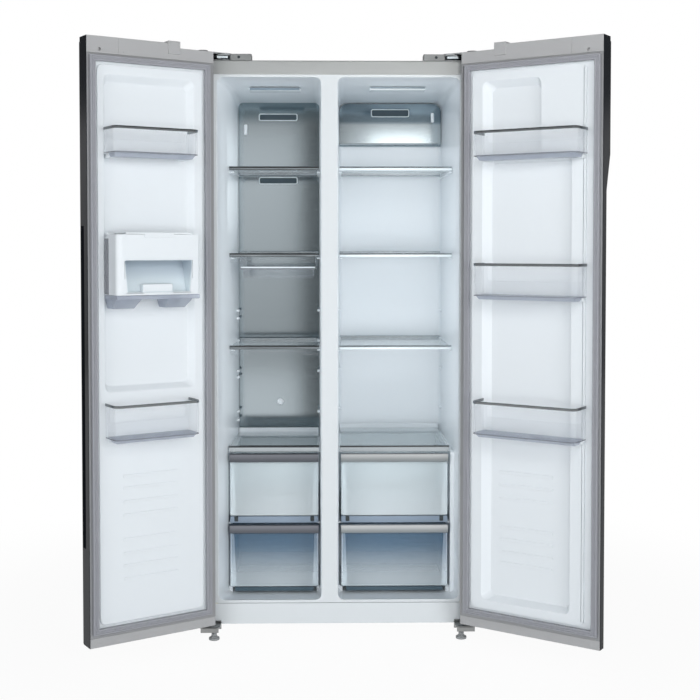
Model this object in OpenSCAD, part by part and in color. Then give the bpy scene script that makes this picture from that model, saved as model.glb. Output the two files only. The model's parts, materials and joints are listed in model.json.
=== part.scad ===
// Side by side refrigerator, freezer on the left and fridge on the right,
// stored with both doors swung open. Millimetres, +Z up, doors towards -Y.
// The origin is on the floor, at the centre of the space that the open appliance takes up.

/* [Cabinet] */
// Width across the two side panels
cabinet_w = 836; // [820:2:900]
// Height of the cabinet's top above the floor
cabinet_h = 1736; // [1730:2:1800]
// Depth of the cabinet behind its front frame
cabinet_d = 564; // [560:2:620]
// Height of the kick plate's lower edge above the floor
kick_z = 40; // [36:1:44]
// Height of the grey steel rail along the top of the front
top_rail_h = 41; // [36:1:44]

/* [Compartments] */
// Left edge of the freezer mouth, from the cabinet's centre line
freezer_mouth_left = -360; // [-366:1:-356]
// Right edge of the freezer mouth
freezer_mouth_right = -49.5; // [-54:0.5:-46]
// Left edge of the fridge mouth
fridge_mouth_left = 0; // [-2:0.5:4]
// Right edge of the fridge mouth
fridge_mouth_right = 365.5; // [360:0.5:370]
// Top of both mouths
mouth_top = 1687; // [1684:1:1690]
// Bottom of both mouths
mouth_bottom = 112; // [110:1:116]
// Depth of the flared throat behind each mouth
throat_d = 92; // [88:1:96]
// Depth of the freezer compartment, up to its back panel
freezer_d = 420; // [410:2:430]
// Depth of the fridge compartment
fridge_d = 515; // [500:5:520]
// Height of the compartments' floor
floor_z = 105; // [102:1:106]
// Where the floor steps up over the machine space
hump_y = 345; // [335:5:350]
// Height of that step
hump_z = 262; // [255:1:270]

/* [Doors] */
// Width of the freezer door
left_door_w = 391; // [385:1:391]
// Width of the fridge door
right_door_w = 441; // [430:1:441]
// Thickness of a door, glass included
door_t = 54; // [50:1:58]
// Bottom of the doors
door_bottom = 53; // [52:1:56]
// Top of the doors
door_top = 1766; // [1764:1:1770]
// Gap between the closed doors and the front frame, filled by the gasket
gasket_gap = 11.8; // [11:0.2:13]
// How far the left door stands open, from closed
left_open = 147.8; // [90:0.1:150]
// How far the right door stands open, from closed
right_open = 145.8; // [90:0.1:150]
// Hinge pin's distance from the door's hinge edge
pin_inset = 20.4; // [19:0.2:22]
// Hinge pin's distance from the door's inner face
pin_depth = 28.9; // [27:0.2:30]

/* [Shelves and drawers] */
// Tops of the three shelves of each compartment
shelf_tops = [1430, 1161, 873]; // [800:1:1500]
// Front of the shelves, behind the door bins
shelf_y = 130; // [125:1:140]
// Front of the drawers
drawer_y = 92; // [90:1:96]
// Top of the glass shelf over the drawers
cover_top = 566; // [560:1:570]
// Top and bottom of the upper drawer
upper_drawer = [326, 540]; // [320:1:545]
// Top and bottom of the lower drawer
lower_drawer = [125, 318]; // [120:1:322]

/* [Door bins] */
// How far a bin stands out from its door
bin_d = 80; // [70:1:82]
// Top edges of the bins on the fridge door
right_bin_tops = [1512, 1134, 737]; // [700:1:1520]
// Height of each of those bins
right_bin_heights = [73, 94, 96]; // [70:1:100]
// Top edges of the bins on the freezer door
left_bin_tops = [1514, 742]; // [700:1:1520]
// Height of each of those bins
left_bin_heights = [73, 98]; // [70:1:100]

/* [Hidden] */
$fn = 48;

// colours
white = [0.88, 0.91, 0.94];
steel_grey = [0.62, 0.63, 0.65];
dark_grey = [0.3, 0.31, 0.33];
frame_grey = [0.55, 0.56, 0.59];
clear_blue = [0.75, 0.83, 0.88, 0.5];
foam_yellow = [0.9, 0.85, 0.6];
metal = [0.72, 0.72, 0.74];
black_glass = [0.04, 0.04, 0.05];

half_w = cabinet_w / 2;
pin_x = half_w - pin_inset;
pin_y = -gasket_gap - pin_depth;
skin = 1;            // sheet steel
liner_t = 2;         // moulded liner
seam = 0.2;          // gap between foam blocks, and between foam and skins
glass_t = 4.2;       // outer glass sheet of a door
door_skin = 1.4;     // folded steel frame of a door
overlap = 1;         // how far a cutter runs past the face it opens
back_y = cabinet_d - 4;   // outer face of the back panel

// the open appliance's box, from the outer free corners of the doors and the bins' corners
function swung(w, u, v, a) = [
    pin_x + (pin_inset - u) * cos(a) + (v - pin_depth) * sin(a),
    pin_y + (pin_inset - u) * sin(a) - (v - pin_depth) * cos(a)
];
reach_left = -swung(left_door_w, left_door_w, door_t, left_open)[0];
reach_right = swung(right_door_w, right_door_w, door_t, right_open)[0];
right_bin_u = [77, 396];       // hinge side and free side of the fridge door's bins
left_bin_u = [85, 342];        // and of the freezer door's
bin_corner = 18;
reach_front = swung(right_door_w, right_bin_u[1] - bin_corner / 3, -bin_d, right_open)[1];
origin_x = (reach_left + reach_right) / 2;
origin_y = (reach_front + back_y) / 2;

module placed() {
    translate([-origin_x, -origin_y, 0]) children();
}

// In a door, +X runs from the hinge edge to the free edge, +Y is the side that faces
// the compartment when shut, and the inner face lies on Y = 0.
module on_left_door() {
    placed() translate([-pin_x, pin_y, 0]) rotate([0, 0, -left_open])
        translate([-pin_inset, pin_depth, 0]) children();
}

module on_right_door() {
    placed() mirror([1, 0, 0]) translate([-pin_x, pin_y, 0]) rotate([0, 0, -right_open])
        translate([-pin_inset, pin_depth, 0]) children();
}

module block(low, high) {
    translate(low) cube(high - low);
}

module both_sides() {
    children();
    mirror([1, 0, 0]) children();
}

// a plate with true round corners, in the XY plane
module rounded_rect(w, h, r) {
    translate([r, 0]) square([w - 2 * r, h]);
    translate([0, r]) square([w, h - 2 * r]);
    for (x = [r, w - r], y = [r, h - r]) translate([x, y]) circle(r);
}

// an upright extrusion of an outline in (x, y)
module upright(points, z0, z1) {
    translate([0, 0, z0]) linear_extrude(z1 - z0) polygon(points);
}

// an extrusion of an outline in (x, z), from y0 back to y1
module facing(points, y0, y1) {
    translate([0, y1, 0]) rotate([90, 0, 0]) linear_extrude(y1 - y0) polygon(points);
}

// a sideways extrusion of an outline in (y, z)
module sideways(points, x0, x1) {
    translate([x0, 0, 0]) rotate([90, 0, 90]) linear_extrude(x1 - x0) polygon(points);
}

// ---------------------------------------------------------------- compartments

// side walls: x at the mouth, at the end of the throat and at the back
freezer_left = [freezer_mouth_left, -338.5, -326];
freezer_right = [freezer_mouth_right, -54, -58.8];
fridge_left = [fridge_mouth_left, 4.2, 7.9];
fridge_right = [fridge_mouth_right, 361, 357];
freezer_liner_d = 500;     // the liner goes on behind the freezer's back panel
freezer_ceiling = [mouth_top, 1676, 1657];
fridge_ceiling = [mouth_top, 1676, 1669];

// g moves every wall outwards
function room_plan(left, right, d, g) = [
    [left[0] - g, 0], [right[0] + g, 0], [right[1] + g, throat_d],
    [right[2] + g, d + g], [left[2] - g, d + g], [left[1] - g, throat_d]
];
function room_side(ceiling, d, g) = [
    [0, mouth_bottom - g], [throat_d, floor_z - g], [hump_y + g, floor_z - g],
    [hump_y + g, hump_z - g], [d + g, hump_z - g], [d + g, ceiling[2] + g],
    [throat_d, ceiling[1] + g], [0, ceiling[0] + g]
];

module room(left, right, ceiling, d, g) {
    intersection() {
        upright(room_plan(left, right, d, g), floor_z - 20, mouth_top + 20);
        sideways(room_side(ceiling, d, g), left[0] - 20, right[0] + 20);
    }
}

// lugs that carry the shelves, along one wall
lug_y = [160, 390];
lug_drop = 14;
lug_h = 5;
lug_w = 9;
module shelf_lugs(wall_x, dir, y1) {
    for (top = shelf_tops)
        block([min(wall_x, wall_x + dir * lug_w), lug_y[0], top - lug_drop - lug_h],
              [max(wall_x, wall_x + dir * lug_w), y1, top - lug_drop]);
}

cover_rest = 20;     // the drawer covers' underside below their top
module cover_lugs(wall_x, dir, y1) {
    block([min(wall_x, wall_x + dir * lug_w), drawer_y + 20, cover_top - cover_rest - lug_h],
          [max(wall_x, wall_x + dir * lug_w), y1, cover_top - cover_rest - 0.3]);
}

// ledges that the drawers slide on, from x0 to x1
ledge_h = 7;
module drawer_ledges(x0, x1, ends) {
    block([x0, drawer_y + 20, upper_drawer[0] - ledge_h], [x1, ends[0], upper_drawer[0] - 0.3]);
    block([x0, drawer_y + 20, floor_z - 1], [x1, ends[1], lower_drawer[0] - 0.3]);
}

// the fridge's right wall is narrower up to the drawer cover
ledge_x = 348.5;
ledge_z = cover_top - cover_rest - 0.3;
ledge_back = fridge_d - 20;

module liner(left, right, ceiling, d) {
    difference() {
        room(left, right, ceiling, d, liner_t);
        translate([0, -0.01, 0]) room(left, right, ceiling, d, 0);
    }
}

module freezer_liner() color(white) placed() {
    union() {
        translate([0, 1.4, 0]) union() {
            liner(freezer_left, freezer_right, freezer_ceiling, freezer_liner_d);
            intersection() {
                union() {
                    shelf_lugs(freezer_left[2] - 8, 1, lug_y[1]);
                    shelf_lugs(freezer_right[2] + 3.5, -1, lug_y[1]);
                    cover_lugs(freezer_left[1], 1, 400);
                    cover_lugs(freezer_right[2] + 3.5, -1, 400);
                    drawer_ledges(freezer_left[1] - 2, -317, [396, hump_y - 16]);
                    drawer_ledges(-68, freezer_right[1] + 2, [396, hump_y - 16]);
                }
                room(freezer_left, freezer_right, freezer_ceiling, freezer_liner_d, 1);
            }
        }
    }
}

module fridge_liner() color(white) placed() {
    translate([0, 1.4, 0]) union() {
        liner(fridge_left, fridge_right, fridge_ceiling, fridge_d);
        intersection() {
            union() {
                shelf_lugs(fridge_left[2] - 4, 1, 480);
                shelf_lugs(fridge_right[2] + 3, -1, 480);
                cover_lugs(fridge_left[1] - 1, 1, 480);
                drawer_ledges(fridge_left[1] - 2, 18, [480, hump_y - 16]);
                drawer_ledges(336, ledge_x + 1, [480, hump_y - 16]);
                difference() {
                    block([ledge_x, throat_d, floor_z - 1], [fridge_right[0], ledge_back + liner_t, ledge_z]);
                    block([ledge_x + liner_t, throat_d + liner_t, floor_z - 2],
                          [fridge_right[0] + 1, ledge_back, ledge_z - liner_t]);
                }
            }
            room(fridge_left, fridge_right, fridge_ceiling, fridge_d, 1);
        }
    }
}

// ---------------------------------------------------------------- cabinet body

module cabinet_shell() color(steel_grey) placed() {
    difference() {
        block([-half_w, 0, kick_z], [half_w, cabinet_d - 3, cabinet_h]);
        block([-half_w + skin, -overlap, kick_z - overlap],
              [half_w - skin, cabinet_d, cabinet_h - skin]);
    }
}

frame_edge = half_w - skin - 0.1;   // edge of the flat plates inside the wrap
module top_rail() color(steel_grey) placed() {
    block([-frame_edge, 0, cabinet_h - top_rail_h + 0.2], [frame_edge, 1.2, cabinet_h - skin - 0.1]);
}

mouth_r = 18;
frame_bottom = 104;
module mouth_cut(left, right) {
    translate([left, 2, mouth_bottom]) rotate([90, 0, 0])
        linear_extrude(4) rounded_rect(right - left, mouth_top - mouth_bottom, mouth_r);
}

module front_frame() color(white) placed() {
    difference() {
        block([-frame_edge, 0, frame_bottom], [frame_edge, 1.2, cabinet_h - top_rail_h]);
        mouth_cut(freezer_mouth_left, freezer_mouth_right);
        mouth_cut(fridge_mouth_left, fridge_mouth_right);
    }
}

module kick_plate() color(white) placed() {
    block([-frame_edge, 0, kick_z], [frame_edge, 1.2, frame_bottom - 0.3]);
    block([-frame_edge, 0, kick_z], [frame_edge, 12, kick_z + 1.2]);
}

machine_y = 372;        // front of the machine space
machine_top = 238;
panel_ribs = 5;
module back_panel() color(steel_grey) placed() {
    block([-frame_edge, back_y - skin, machine_top + 2], [frame_edge, back_y, cabinet_h - skin - 0.2]);
    for (i = [0:panel_ribs - 1])
        translate([(i - (panel_ribs - 1) / 2) * 150, 0, 0])
            block([-9, back_y - 0.5, machine_top + 60], [9, back_y + 2, cabinet_h - 60]);
}

axle_r = 4;
axle_z = 17;
axle_y = 520;
roller_x = 371;
module base_pan() color(metal) placed() {
    difference() {
        union() {
            block([-frame_edge, 14, kick_z], [frame_edge, cabinet_d - 6, kick_z + 2]);
            for (x = [-roller_x - 18, -roller_x + 14, roller_x - 18, roller_x + 14])
                block([x, axle_y - 22, axle_z - 9], [x + 4, axle_y + 22, kick_z + 0.5]);
        }
        translate([-half_w, axle_y, axle_z]) rotate([0, 90, 0]) cylinder(h = cabinet_w, r = axle_r + 0.06);
    }
}

roller_r = 17;
module rear_rollers() color(dark_grey) placed() {
    translate([-roller_x - 22, axle_y, axle_z]) rotate([0, 90, 0])
        cylinder(h = 2 * roller_x + 44, r = axle_r);
    for (x = [-roller_x - 8, roller_x - 8])
        translate([x, axle_y, axle_z]) rotate([0, 90, 0]) cylinder(h = 16, r = roller_r, $fn = 64);
}

// ---------------------------------------------------------------- insulation

foam_low = kick_z + 2 + seam;
foam_high = cabinet_h - skin - seam;
foam_back = back_y - skin - seam;
foam_front = 1.2 + seam;
gap = liner_t + seam;
foam_side = half_w - skin - seam;

// the wall between a liner and the outside, as one convex block
module side_foam(outer, wall, dir, z0, z1) {
    upright([[outer, foam_front], [wall[0] + dir * gap, foam_front],
             [wall[1] + dir * gap, throat_d + 1.4], [wall[2] + dir * gap, foam_back],
             [outer, foam_back]], z0, z1);
}

module room_foam(left, right, ceiling, d) {
    inset_l = left[2] - gap + seam;
    inset_r = right[2] + gap - seam;
    // over the ceiling
    sideways([[foam_front, ceiling[0] + gap], [throat_d + 1.4, ceiling[1] + gap],
              [foam_back, ceiling[2] + gap], [foam_back, foam_high], [foam_front, foam_high]],
             inset_l, inset_r);
    // under the floor
    block([inset_l, 14.2, foam_low], [inset_r, hump_y + 1.4 + gap, floor_z - gap]);
    // in front of and over the machine space
    block([inset_l, hump_y + 1.6 + gap, foam_low], [inset_r, machine_y, machine_top]);
    block([inset_l, hump_y + 1.6 + gap, machine_top + seam], [inset_r, foam_back, hump_z - gap]);
    // behind the back wall
    block([inset_l, d + 1.4 + gap, hump_z - gap + seam], [inset_r, foam_back, ceiling[2] + gap - 4]);
}

// the wall between the two compartments, down to the machine space
module divider_foam(z0, z1, y1) {
    intersection() {
        upright([[freezer_right[0] + gap, foam_front], [fridge_left[0] - gap, foam_front],
                 [fridge_left[1] - gap, throat_d + 1.4], [fridge_left[2] - gap, foam_back],
                 [freezer_right[2] + gap, foam_back], [freezer_right[1] + gap, throat_d + 1.4]], z0, z1);
        block([freezer_right[2], 0, z0], [fridge_left[2], y1, z1]);
    }
}

module insulation() color(foam_yellow) placed() {
    side_foam(-foam_side, freezer_left, -1, foam_low, foam_high);
    side_foam(foam_side, fridge_right, 1, foam_low, foam_high);
    divider_foam(hump_z, foam_high, foam_back);
    divider_foam(floor_z, hump_z - seam, hump_y);
    // the fridge's lower right wall stands in under the drawer cover
    ledge_in = ledge_x + liner_t + seam;
    block([ledge_in, throat_d + 4, floor_z + seam], [fridge_right[2] - seam, hump_y, hump_z]);
    block([ledge_in, throat_d + 4, hump_z + 2 * seam],
          [fridge_right[2] - seam, ledge_back, ledge_z - liner_t - seam]);
    room_foam(freezer_left, freezer_right, freezer_ceiling, freezer_liner_d);
    room_foam(fridge_left, fridge_right, fridge_ceiling, fridge_d);
}

// ---------------------------------------------------------------- cold air parts

vent_x = [-257, -134];
vent_tops = [1621, 1410];
vent_h = 18;
fan_at = [-190, 1520];       // x and z of the evaporator fan
fan_r = 52;
shaft_r = 3;
motor_r = 20;
module freezer_back_panel() color(steel_grey) placed() {
    difference() {
        upright([[freezer_left[2] - 1.5, freezer_d], [freezer_right[2] + 0.4, freezer_d],
                 [freezer_right[2] + 0.4, freezer_d + 3], [freezer_left[2] - 1.4, freezer_d + 3]],
                hump_z + 0.5, freezer_ceiling[2] + 3);
        for (top = vent_tops)
            block([vent_x[0], freezer_d - overlap, top - vent_h], [vent_x[1], freezer_d + 4, top]);
    }
    translate([fan_at[0], freezer_d + 2.5, fan_at[1]]) rotate([-90, 0, 0]) cylinder(h = 14.5, r = motor_r);
    translate([fan_at[0], freezer_d + 2.5, fan_at[1]]) rotate([-90, 0, 0]) cylinder(h = 42, r = shaft_r);
    // round cap over a service hole
    translate([-190, freezer_d + 0.5, 661]) rotate([90, 0, 0]) cylinder(h = 3.5, r = 10);
}

fan_blades = 5;
module evaporator_fan() color(white) placed() translate([fan_at[0], freezer_d + 19, fan_at[1]]) {
    difference() {
        union() {
            rotate([-90, 0, 0]) cylinder(h = 18, r = 13);
            for (i = [0:fan_blades - 1]) rotate([0, i * 360 / fan_blades, 0])
                translate([10, 5, 0]) rotate([35, 0, 0]) block([0, 0, -9], [fan_r - 10, 1.5, 9]);
        }
        translate([0, -1, 0]) rotate([-90, 0, 0]) cylinder(h = 20, r = shaft_r + 0.05);
    }
}

coil_rows = 9;
coil_pitch = 84;
coil_pipe_r = 4;
coil_pipe_y = [452, 478];
coil_x = [-312, -76];
coil_y = [444, 486];
coil_z = [645, 1347];
coil_plate = 2;
coil_fins = 9;
fin_pitch = 28;
fin_t = 1.4;
module evaporator() color(metal) placed() {
    for (i = [0:coil_rows - 1], y = coil_pipe_y)
        translate([coil_x[0], y, coil_z[0] + 15 + i * coil_pitch]) rotate([0, 90, 0])
            cylinder(h = coil_x[1] - coil_x[0], r = coil_pipe_r);
    for (i = [0:coil_fins - 1], x = coil_x[0] + 4 + i * fin_pitch)
        block([x, coil_y[0], coil_z[0]], [x + fin_t, coil_y[1], coil_z[1]]);
    for (x = [coil_x[0], coil_x[1] - coil_plate])
        block([x, coil_y[0], coil_z[0]], [x + coil_plate, coil_y[1], coil_z[1]]);
}

duct_z = [1521, 1666];
duct_y = 496;
module fridge_duct_cover() color(steel_grey) placed() {
    difference() {
        sideways([[duct_y, duct_z[0] + 14], [duct_y, duct_z[1]], [fridge_d + 0.8, duct_z[1] + 1],
                  [fridge_d + 0.8, duct_z[0]], [duct_y + 8, duct_z[0]]], fridge_left[2] + 1, fridge_right[2] - 2);
        sideways([[duct_y + 2, duct_z[0] + 15], [duct_y + 2, duct_z[1] - 2], [fridge_d + 2, duct_z[1] - 2],
                  [fridge_d + 2, duct_z[0] + 2], [duct_y + 9, duct_z[0] + 2]],
                 fridge_left[2] + 3, fridge_right[2] - 4);
        block([120, duct_y - overlap, 1624], [244, duct_y + 5, 1645]);
    }
}

lamp_y = [120, 178];
lamp_h = 9;
module lamp_cover(x, top) {
    block([x[0], lamp_y[0], top - lamp_h], [x[1], lamp_y[1], top]);
}
module lamp_covers() color(white) placed() {
    lamp_cover([-272, -115], 1671.5);
    lamp_cover([100, 272], 1674);
}

module temperature_sensors() color(white) placed() {
    block([-309, freezer_d - 9, 1553], [-298, freezer_d - 0.3, 1588]);
    block([320, duct_y - 9, 1602], [331, duct_y - 0.3, 1635]);
}

// ---------------------------------------------------------------- machine space

compressor_at = [210, 462];
pot_r = 74;              // the compressor's round housing, and its domed top
pot_z = [62, 162];
dome_h = 50;
foot_plate = [88, 60, 4];
foot_plate_z = 52;
damper_at = [76, 48];
damper_r = 12;
module compressor() color([0.12, 0.12, 0.13]) placed() translate([compressor_at[0], compressor_at[1], 0]) {
    translate([0, 0, pot_z[0]]) cylinder(h = pot_z[1] - pot_z[0], r = pot_r, $fn = 64);
    translate([0, 0, pot_z[1]]) intersection() {
        sphere(r = pot_r, $fn = 64);
        block([-pot_r - 1, -pot_r - 1, -10], [pot_r + 1, pot_r + 1, dome_h]);
    }
    block([-foot_plate[0], -foot_plate[1], foot_plate_z],
          [foot_plate[0], foot_plate[1], foot_plate_z + foot_plate[2]]);
    for (x = [-damper_at[0], damper_at[0]], y = [-damper_at[1], damper_at[1]])
        translate([x, y, kick_z + 2.2]) cylinder(h = foot_plate_z - kick_z - 2, r = damper_r);
    translate([0, 0, foot_plate_z + 3]) cylinder(h = pot_z[0] - foot_plate_z - 2, r = pot_r - 14);
}

condenser_x = [-318, 70];
condenser_y = [388, 520];
condenser_top = 204;
pipe_y = [400, 436, 472, 508];
pipe_z = [70, 100, 130, 160, 190];
pipe_r = 3.2;
carrier_t = 2;
module condenser() color(dark_grey) placed() {
    for (y = pipe_y, z = pipe_z)
        translate([condenser_x[0], y, z]) rotate([0, 90, 0])
            cylinder(h = condenser_x[1] - condenser_x[0], r = pipe_r);
    for (x = [condenser_x[0], condenser_x[1] - carrier_t, -136])
        block([x, condenser_y[0], kick_z + 2.2], [x + carrier_t, condenser_y[1], condenser_top]);
}

louvres = 15;
louvre_pitch = 46;
louvre_size = [14, 50];
louvre_rows = [74, 148];
gland_at = [-330, 216];
gland_r = 9;
module compressor_cover() color(dark_grey) placed() {
    difference() {
        block([-frame_edge, back_y - 1, kick_z + 3], [frame_edge, back_y + 1, machine_top + 1]);
        for (i = [0:louvres - 1], z = louvre_rows)
            translate([(i - (louvres - 1) / 2) * louvre_pitch, 0, z])
                block([-louvre_size[0], back_y - 2, 0], [louvre_size[0], back_y + 2, louvre_size[1]]);
    }
    // gland where the mains lead would go in
    translate([gland_at[0], back_y - 1, gland_at[1]]) rotate([-90, 0, 0]) cylinder(h = 10, r = gland_r);
}

// ---------------------------------------------------------------- hinges and feet

hinge_pin_r = 5;
hinge_gap = 0.05;
hinge_step = 13;                 // the door's top is lower over the hinge
hinge_top = door_top - hinge_step;
arm_z = hinge_top + 1.2;
arm_t = 4;
arm_r = 15;              // half the arm's width, and its round end
arm_wide = 57;           // the base reaches this far inwards from the pin
arm_y = [8, 30];         // the wide part of the arm, which bends down at its back
base_back = 90;
base_screws = [-45, -21, 3];
base_screw_y = 70;
screw_r = 4;
module upper_hinges() color(metal) placed() both_sides() {
    translate([pin_x, pin_y, hinge_top - 17]) cylinder(h = 22, r = hinge_pin_r);
    difference() {
        union() {
            translate([pin_x, pin_y, arm_z]) cylinder(h = arm_t, r = arm_r);
            block([pin_x - arm_r, pin_y, arm_z], [pin_x + arm_r, arm_y[1], arm_z + arm_t]);
            block([pin_x - arm_wide, arm_y[0], arm_z], [pin_x + arm_r, arm_y[1], arm_z + arm_t]);
            block([pin_x - arm_wide, arm_y[1] - arm_t, cabinet_h + 0.1],
                  [pin_x + arm_r, arm_y[1], arm_z + arm_t]);
            block([pin_x - arm_wide, arm_y[1] - arm_t, cabinet_h + 0.1],
                  [pin_x + arm_r, base_back, cabinet_h + arm_t]);
        }
        for (x = base_screws) translate([pin_x + x, base_screw_y, cabinet_h - 1]) cylinder(h = 8, r = screw_r);
    }
}

cover_split = 316;       // the hinge cover is taller from here outwards
cover_box_x = 257;
cover_end = 416;
cover_tall = 30;
cover_low = 20;
cover_back = 104;
cover_box_back = 42;
cover_round = 24;
cover_wall = 2;
module hinge_covers() color(dark_grey) placed() both_sides() {
    translate([0, 0, cabinet_h + 0.2]) difference() {
        union() {
            block([cover_box_x, 1, 0], [cover_split + 1, cover_box_back, cover_low]);
            // rounded housing over the hinge
            translate([cover_split, -3, 0]) linear_extrude(cover_tall) union() {
                translate([cover_round, cover_round]) circle(cover_round);
                translate([cover_round, 0]) square([cover_end - cover_split - cover_round, cover_back + 3]);
                translate([0, cover_round]) square([cover_end - cover_split, cover_back + 3 - cover_round]);
            }
        }
        block([cover_split + cover_wall + 14, -4, -1],
              [cover_end - cover_wall, cover_back - cover_wall, cover_tall - cover_wall]);
        block([cover_box_x + cover_wall, 1 + cover_wall, -1],
              [cover_split + 20, cover_box_back - cover_wall, cover_low - cover_wall]);
    }
}

foot_x = 372;
foot_y = -22;
stud_r = 5;
bracket_z = [26, 46];
bracket_x = 352;
bracket_front = pin_y - 14;
bracket_end = pin_x + 15;
nut_r = 11;
door_seat_r = 12;
module lower_hinges() color(metal) placed() both_sides() {
    difference() {
        union() {
            block([bracket_x, bracket_front, bracket_z[1] - 4], [bracket_end, -0.3, bracket_z[1]]);
            block([bracket_x, -6, bracket_z[0]], [bracket_end, -0.3, bracket_z[1] + 5]);
            block([bracket_x, bracket_front, bracket_z[0] + 4], [bracket_end, bracket_front + 3, bracket_z[1]]);
            translate([foot_x, foot_y, bracket_z[0]]) cylinder(h = 18, r = nut_r);
            translate([pin_x, pin_y, bracket_z[1] - 1])
                cylinder(h = door_bottom - bracket_z[1] + 0.5, r = door_seat_r);
            translate([pin_x, pin_y, bracket_z[1] - 1]) cylinder(h = 28, r = hinge_pin_r);
        }
        translate([foot_x, foot_y, 0]) cylinder(h = 60, r = stud_r + 0.05);
    }
}

disc_r = 16;
disc_h = 7;
key_r = 9;

module foot() {
    translate([foot_x, foot_y, 0]) cylinder(h = disc_h, r = disc_r);
    translate([foot_x, foot_y, disc_h - 1]) cylinder(h = 14, r = key_r, $fn = 6);
    translate([foot_x, foot_y, 10]) cylinder(h = 38, r = stud_r);
}

module left_foot() color(dark_grey) placed() mirror([1, 0, 0]) foot();
module right_foot() color(dark_grey) placed() foot();

// ---------------------------------------------------------------- doors

cap_z = [81, 1718];              // the frame runs between the two end caps
grip_d = 12;                     // depth of the finger grips
grip_wall = 2;                   // lining of a grip
corner_grip = [-door_t - 1, -27];    // the fridge door's grip takes away its front corner
corner_grip_z = [1320, 1440];        // it fades out over this height
groove_grip = [-door_t + 4.4, -26];  // the freezer door's is a groove behind its glass
groove_grip_z = [330, 1240];
gasket_edge = 15;                // hinge side, and the same width all round
gasket_free = 8;
gasket_w = 16;
gasket_z = [91, 1712];
gasket_h = gasket_gap - 0.4;
liner_rim = 4;                   // how far the liner runs under the gasket
stop_u = [107, 145];             // door stop block on the top cap

// the two finger grips, grown by g for their linings
module corner_grip(g) {
    w = right_door_w;
    facing([[w + 1, 0], [w - grip_d - g, 0], [w - grip_d - g, corner_grip_z[0]],
            [w - g, corner_grip_z[1]], [w + 1, corner_grip_z[1] + g]], corner_grip[0], corner_grip[1] + g);
}

module groove_grip(g) {
    w = left_door_w;
    facing([[w + 1, groove_grip_z[0] - g], [w - grip_d - g, groove_grip_z[0] + grip_d - g],
            [w - grip_d - g, groove_grip_z[1] - grip_d + g], [w + 1, groove_grip_z[1] + g]],
           groove_grip[0], groove_grip[1] + g);
}

frame_out = -door_t + glass_t + 0.2;     // back of the glass
flange = 26;                             // inner face of the frame, under the gasket
module door_frame(w) {
    difference() {
        block([0, frame_out, cap_z[0]], [w, 0, cap_z[1]]);
        block([door_skin, frame_out - 1, cap_z[0] - 1], [w - door_skin, -door_skin, cap_z[1] + 1]);
        block([flange, -5, gasket_z[0] + 8], [w - flange + 6, 1, gasket_z[1] - 8]);
    }
}

// one of the grips' linings, children(0), inside the door's outline
module grip_lining(w) {
    intersection() {
        children(0);
        block([w - 30, frame_out, cap_z[0]], [w, 0, cap_z[1]]);
    }
}

module door_foam(w, pocket_d) {
    block([door_skin + 0.4, frame_out + 0.4, cap_z[0] + 0.4], [w - 25, -pocket_d - 3.4, cap_z[1] - 0.4]);
}

// a pocket with sloping walls: slopes are [hinge side, free side, bottom, top]
module pocket(u, z, d, slopes) {
    intersection() {
        upright([[u[0], 1], [u[1], 1], [u[1], 0], [u[1] - slopes[1], -d], [u[0] + slopes[0], -d], [u[0], 0]],
                z[0], z[1]);
        sideways([[1, z[0]], [1, z[1]], [0, z[1]], [-d, z[1] - slopes[3]], [-d, z[0] + slopes[2]], [0, z[0]]],
                 u[0], u[1]);
    }
}

liner_z = [gasket_z[0] + gasket_w - liner_rim, gasket_z[1] - gasket_w + liner_rim];
function liner_u(w) = [gasket_edge + gasket_w - liner_rim, w - gasket_free - gasket_w + liner_rim];
pocket_d = 18;
rib_h = 2.4;

module liner_plate(w) {
    block([liner_u(w)[0], -2.8, liner_z[0]], [liner_u(w)[1], -0.2, liner_z[1]]);
}

// a raised ring around a pocket's mouth
module liner_dike(u, z, h) {
    difference() {
        block([u[0] - 8, -1, z[0] - 8], [u[1] + 8, h, z[1] + 8]);
        block([u[0] - 2, -2, z[0] - 2], [u[1] + 2, h + 1, z[1] + 2]);
    }
}

// lugs under a bin or the ice box, inside its side walls
module bin_lugs(u, z) {
    for (x = [u[0] + 6, u[1] - 26])
        block([x, -pocket_d - 1, z - 12.3], [x + 20, 16, z - 0.3]);
}

module ribs(u, tops) {
    for (z = tops) block([u[0], -pocket_d - 1, z], [u[1], rib_h, z + 9]);
}

left_pocket_u = [62, 342];
left_pocket_z = [772, 1665];
left_ribs = [525, 491, 452, 414, 344, 304, 269, 231];
rib_u = [120, 290];
ice_u = [92, 341];
ice_z = [1047, 1221];
ice_d = 90;
module left_door_liner() color(white) on_left_door() {
    difference() {
        union() {
            liner_plate(left_door_w);
            pocket([left_pocket_u[0] - 3, left_pocket_u[1] + 3], [left_pocket_z[0] - 3, left_pocket_z[1] + 3],
                   pocket_d + 2.6, [16, 8, 10, 10]);
        }
        pocket(left_pocket_u, left_pocket_z, pocket_d, [16, 8, 10, 10]);
        block([0, -0.2, 0], [left_door_w, 2, 2000]);
    }
    for (i = [0:1]) bin_lugs(left_bin_u, left_bin_tops[i] - left_bin_heights[i]);
    for (z = left_ribs) block([rib_u[0], -2, z], [rib_u[1], rib_h, z + 9]);
    // the shelf that carries the ice box, tied back to the liner
    block([ice_u[0], -1, ice_z[0] - 14], [ice_u[1], ice_d + 1, ice_z[0] - 0.4]);
    for (x = [ice_u[0] + 30, ice_u[1] - 36])
        block([x, -pocket_d - 1, ice_z[0] - 34], [x + 6, 60, ice_z[0] - 13]);
}

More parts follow.
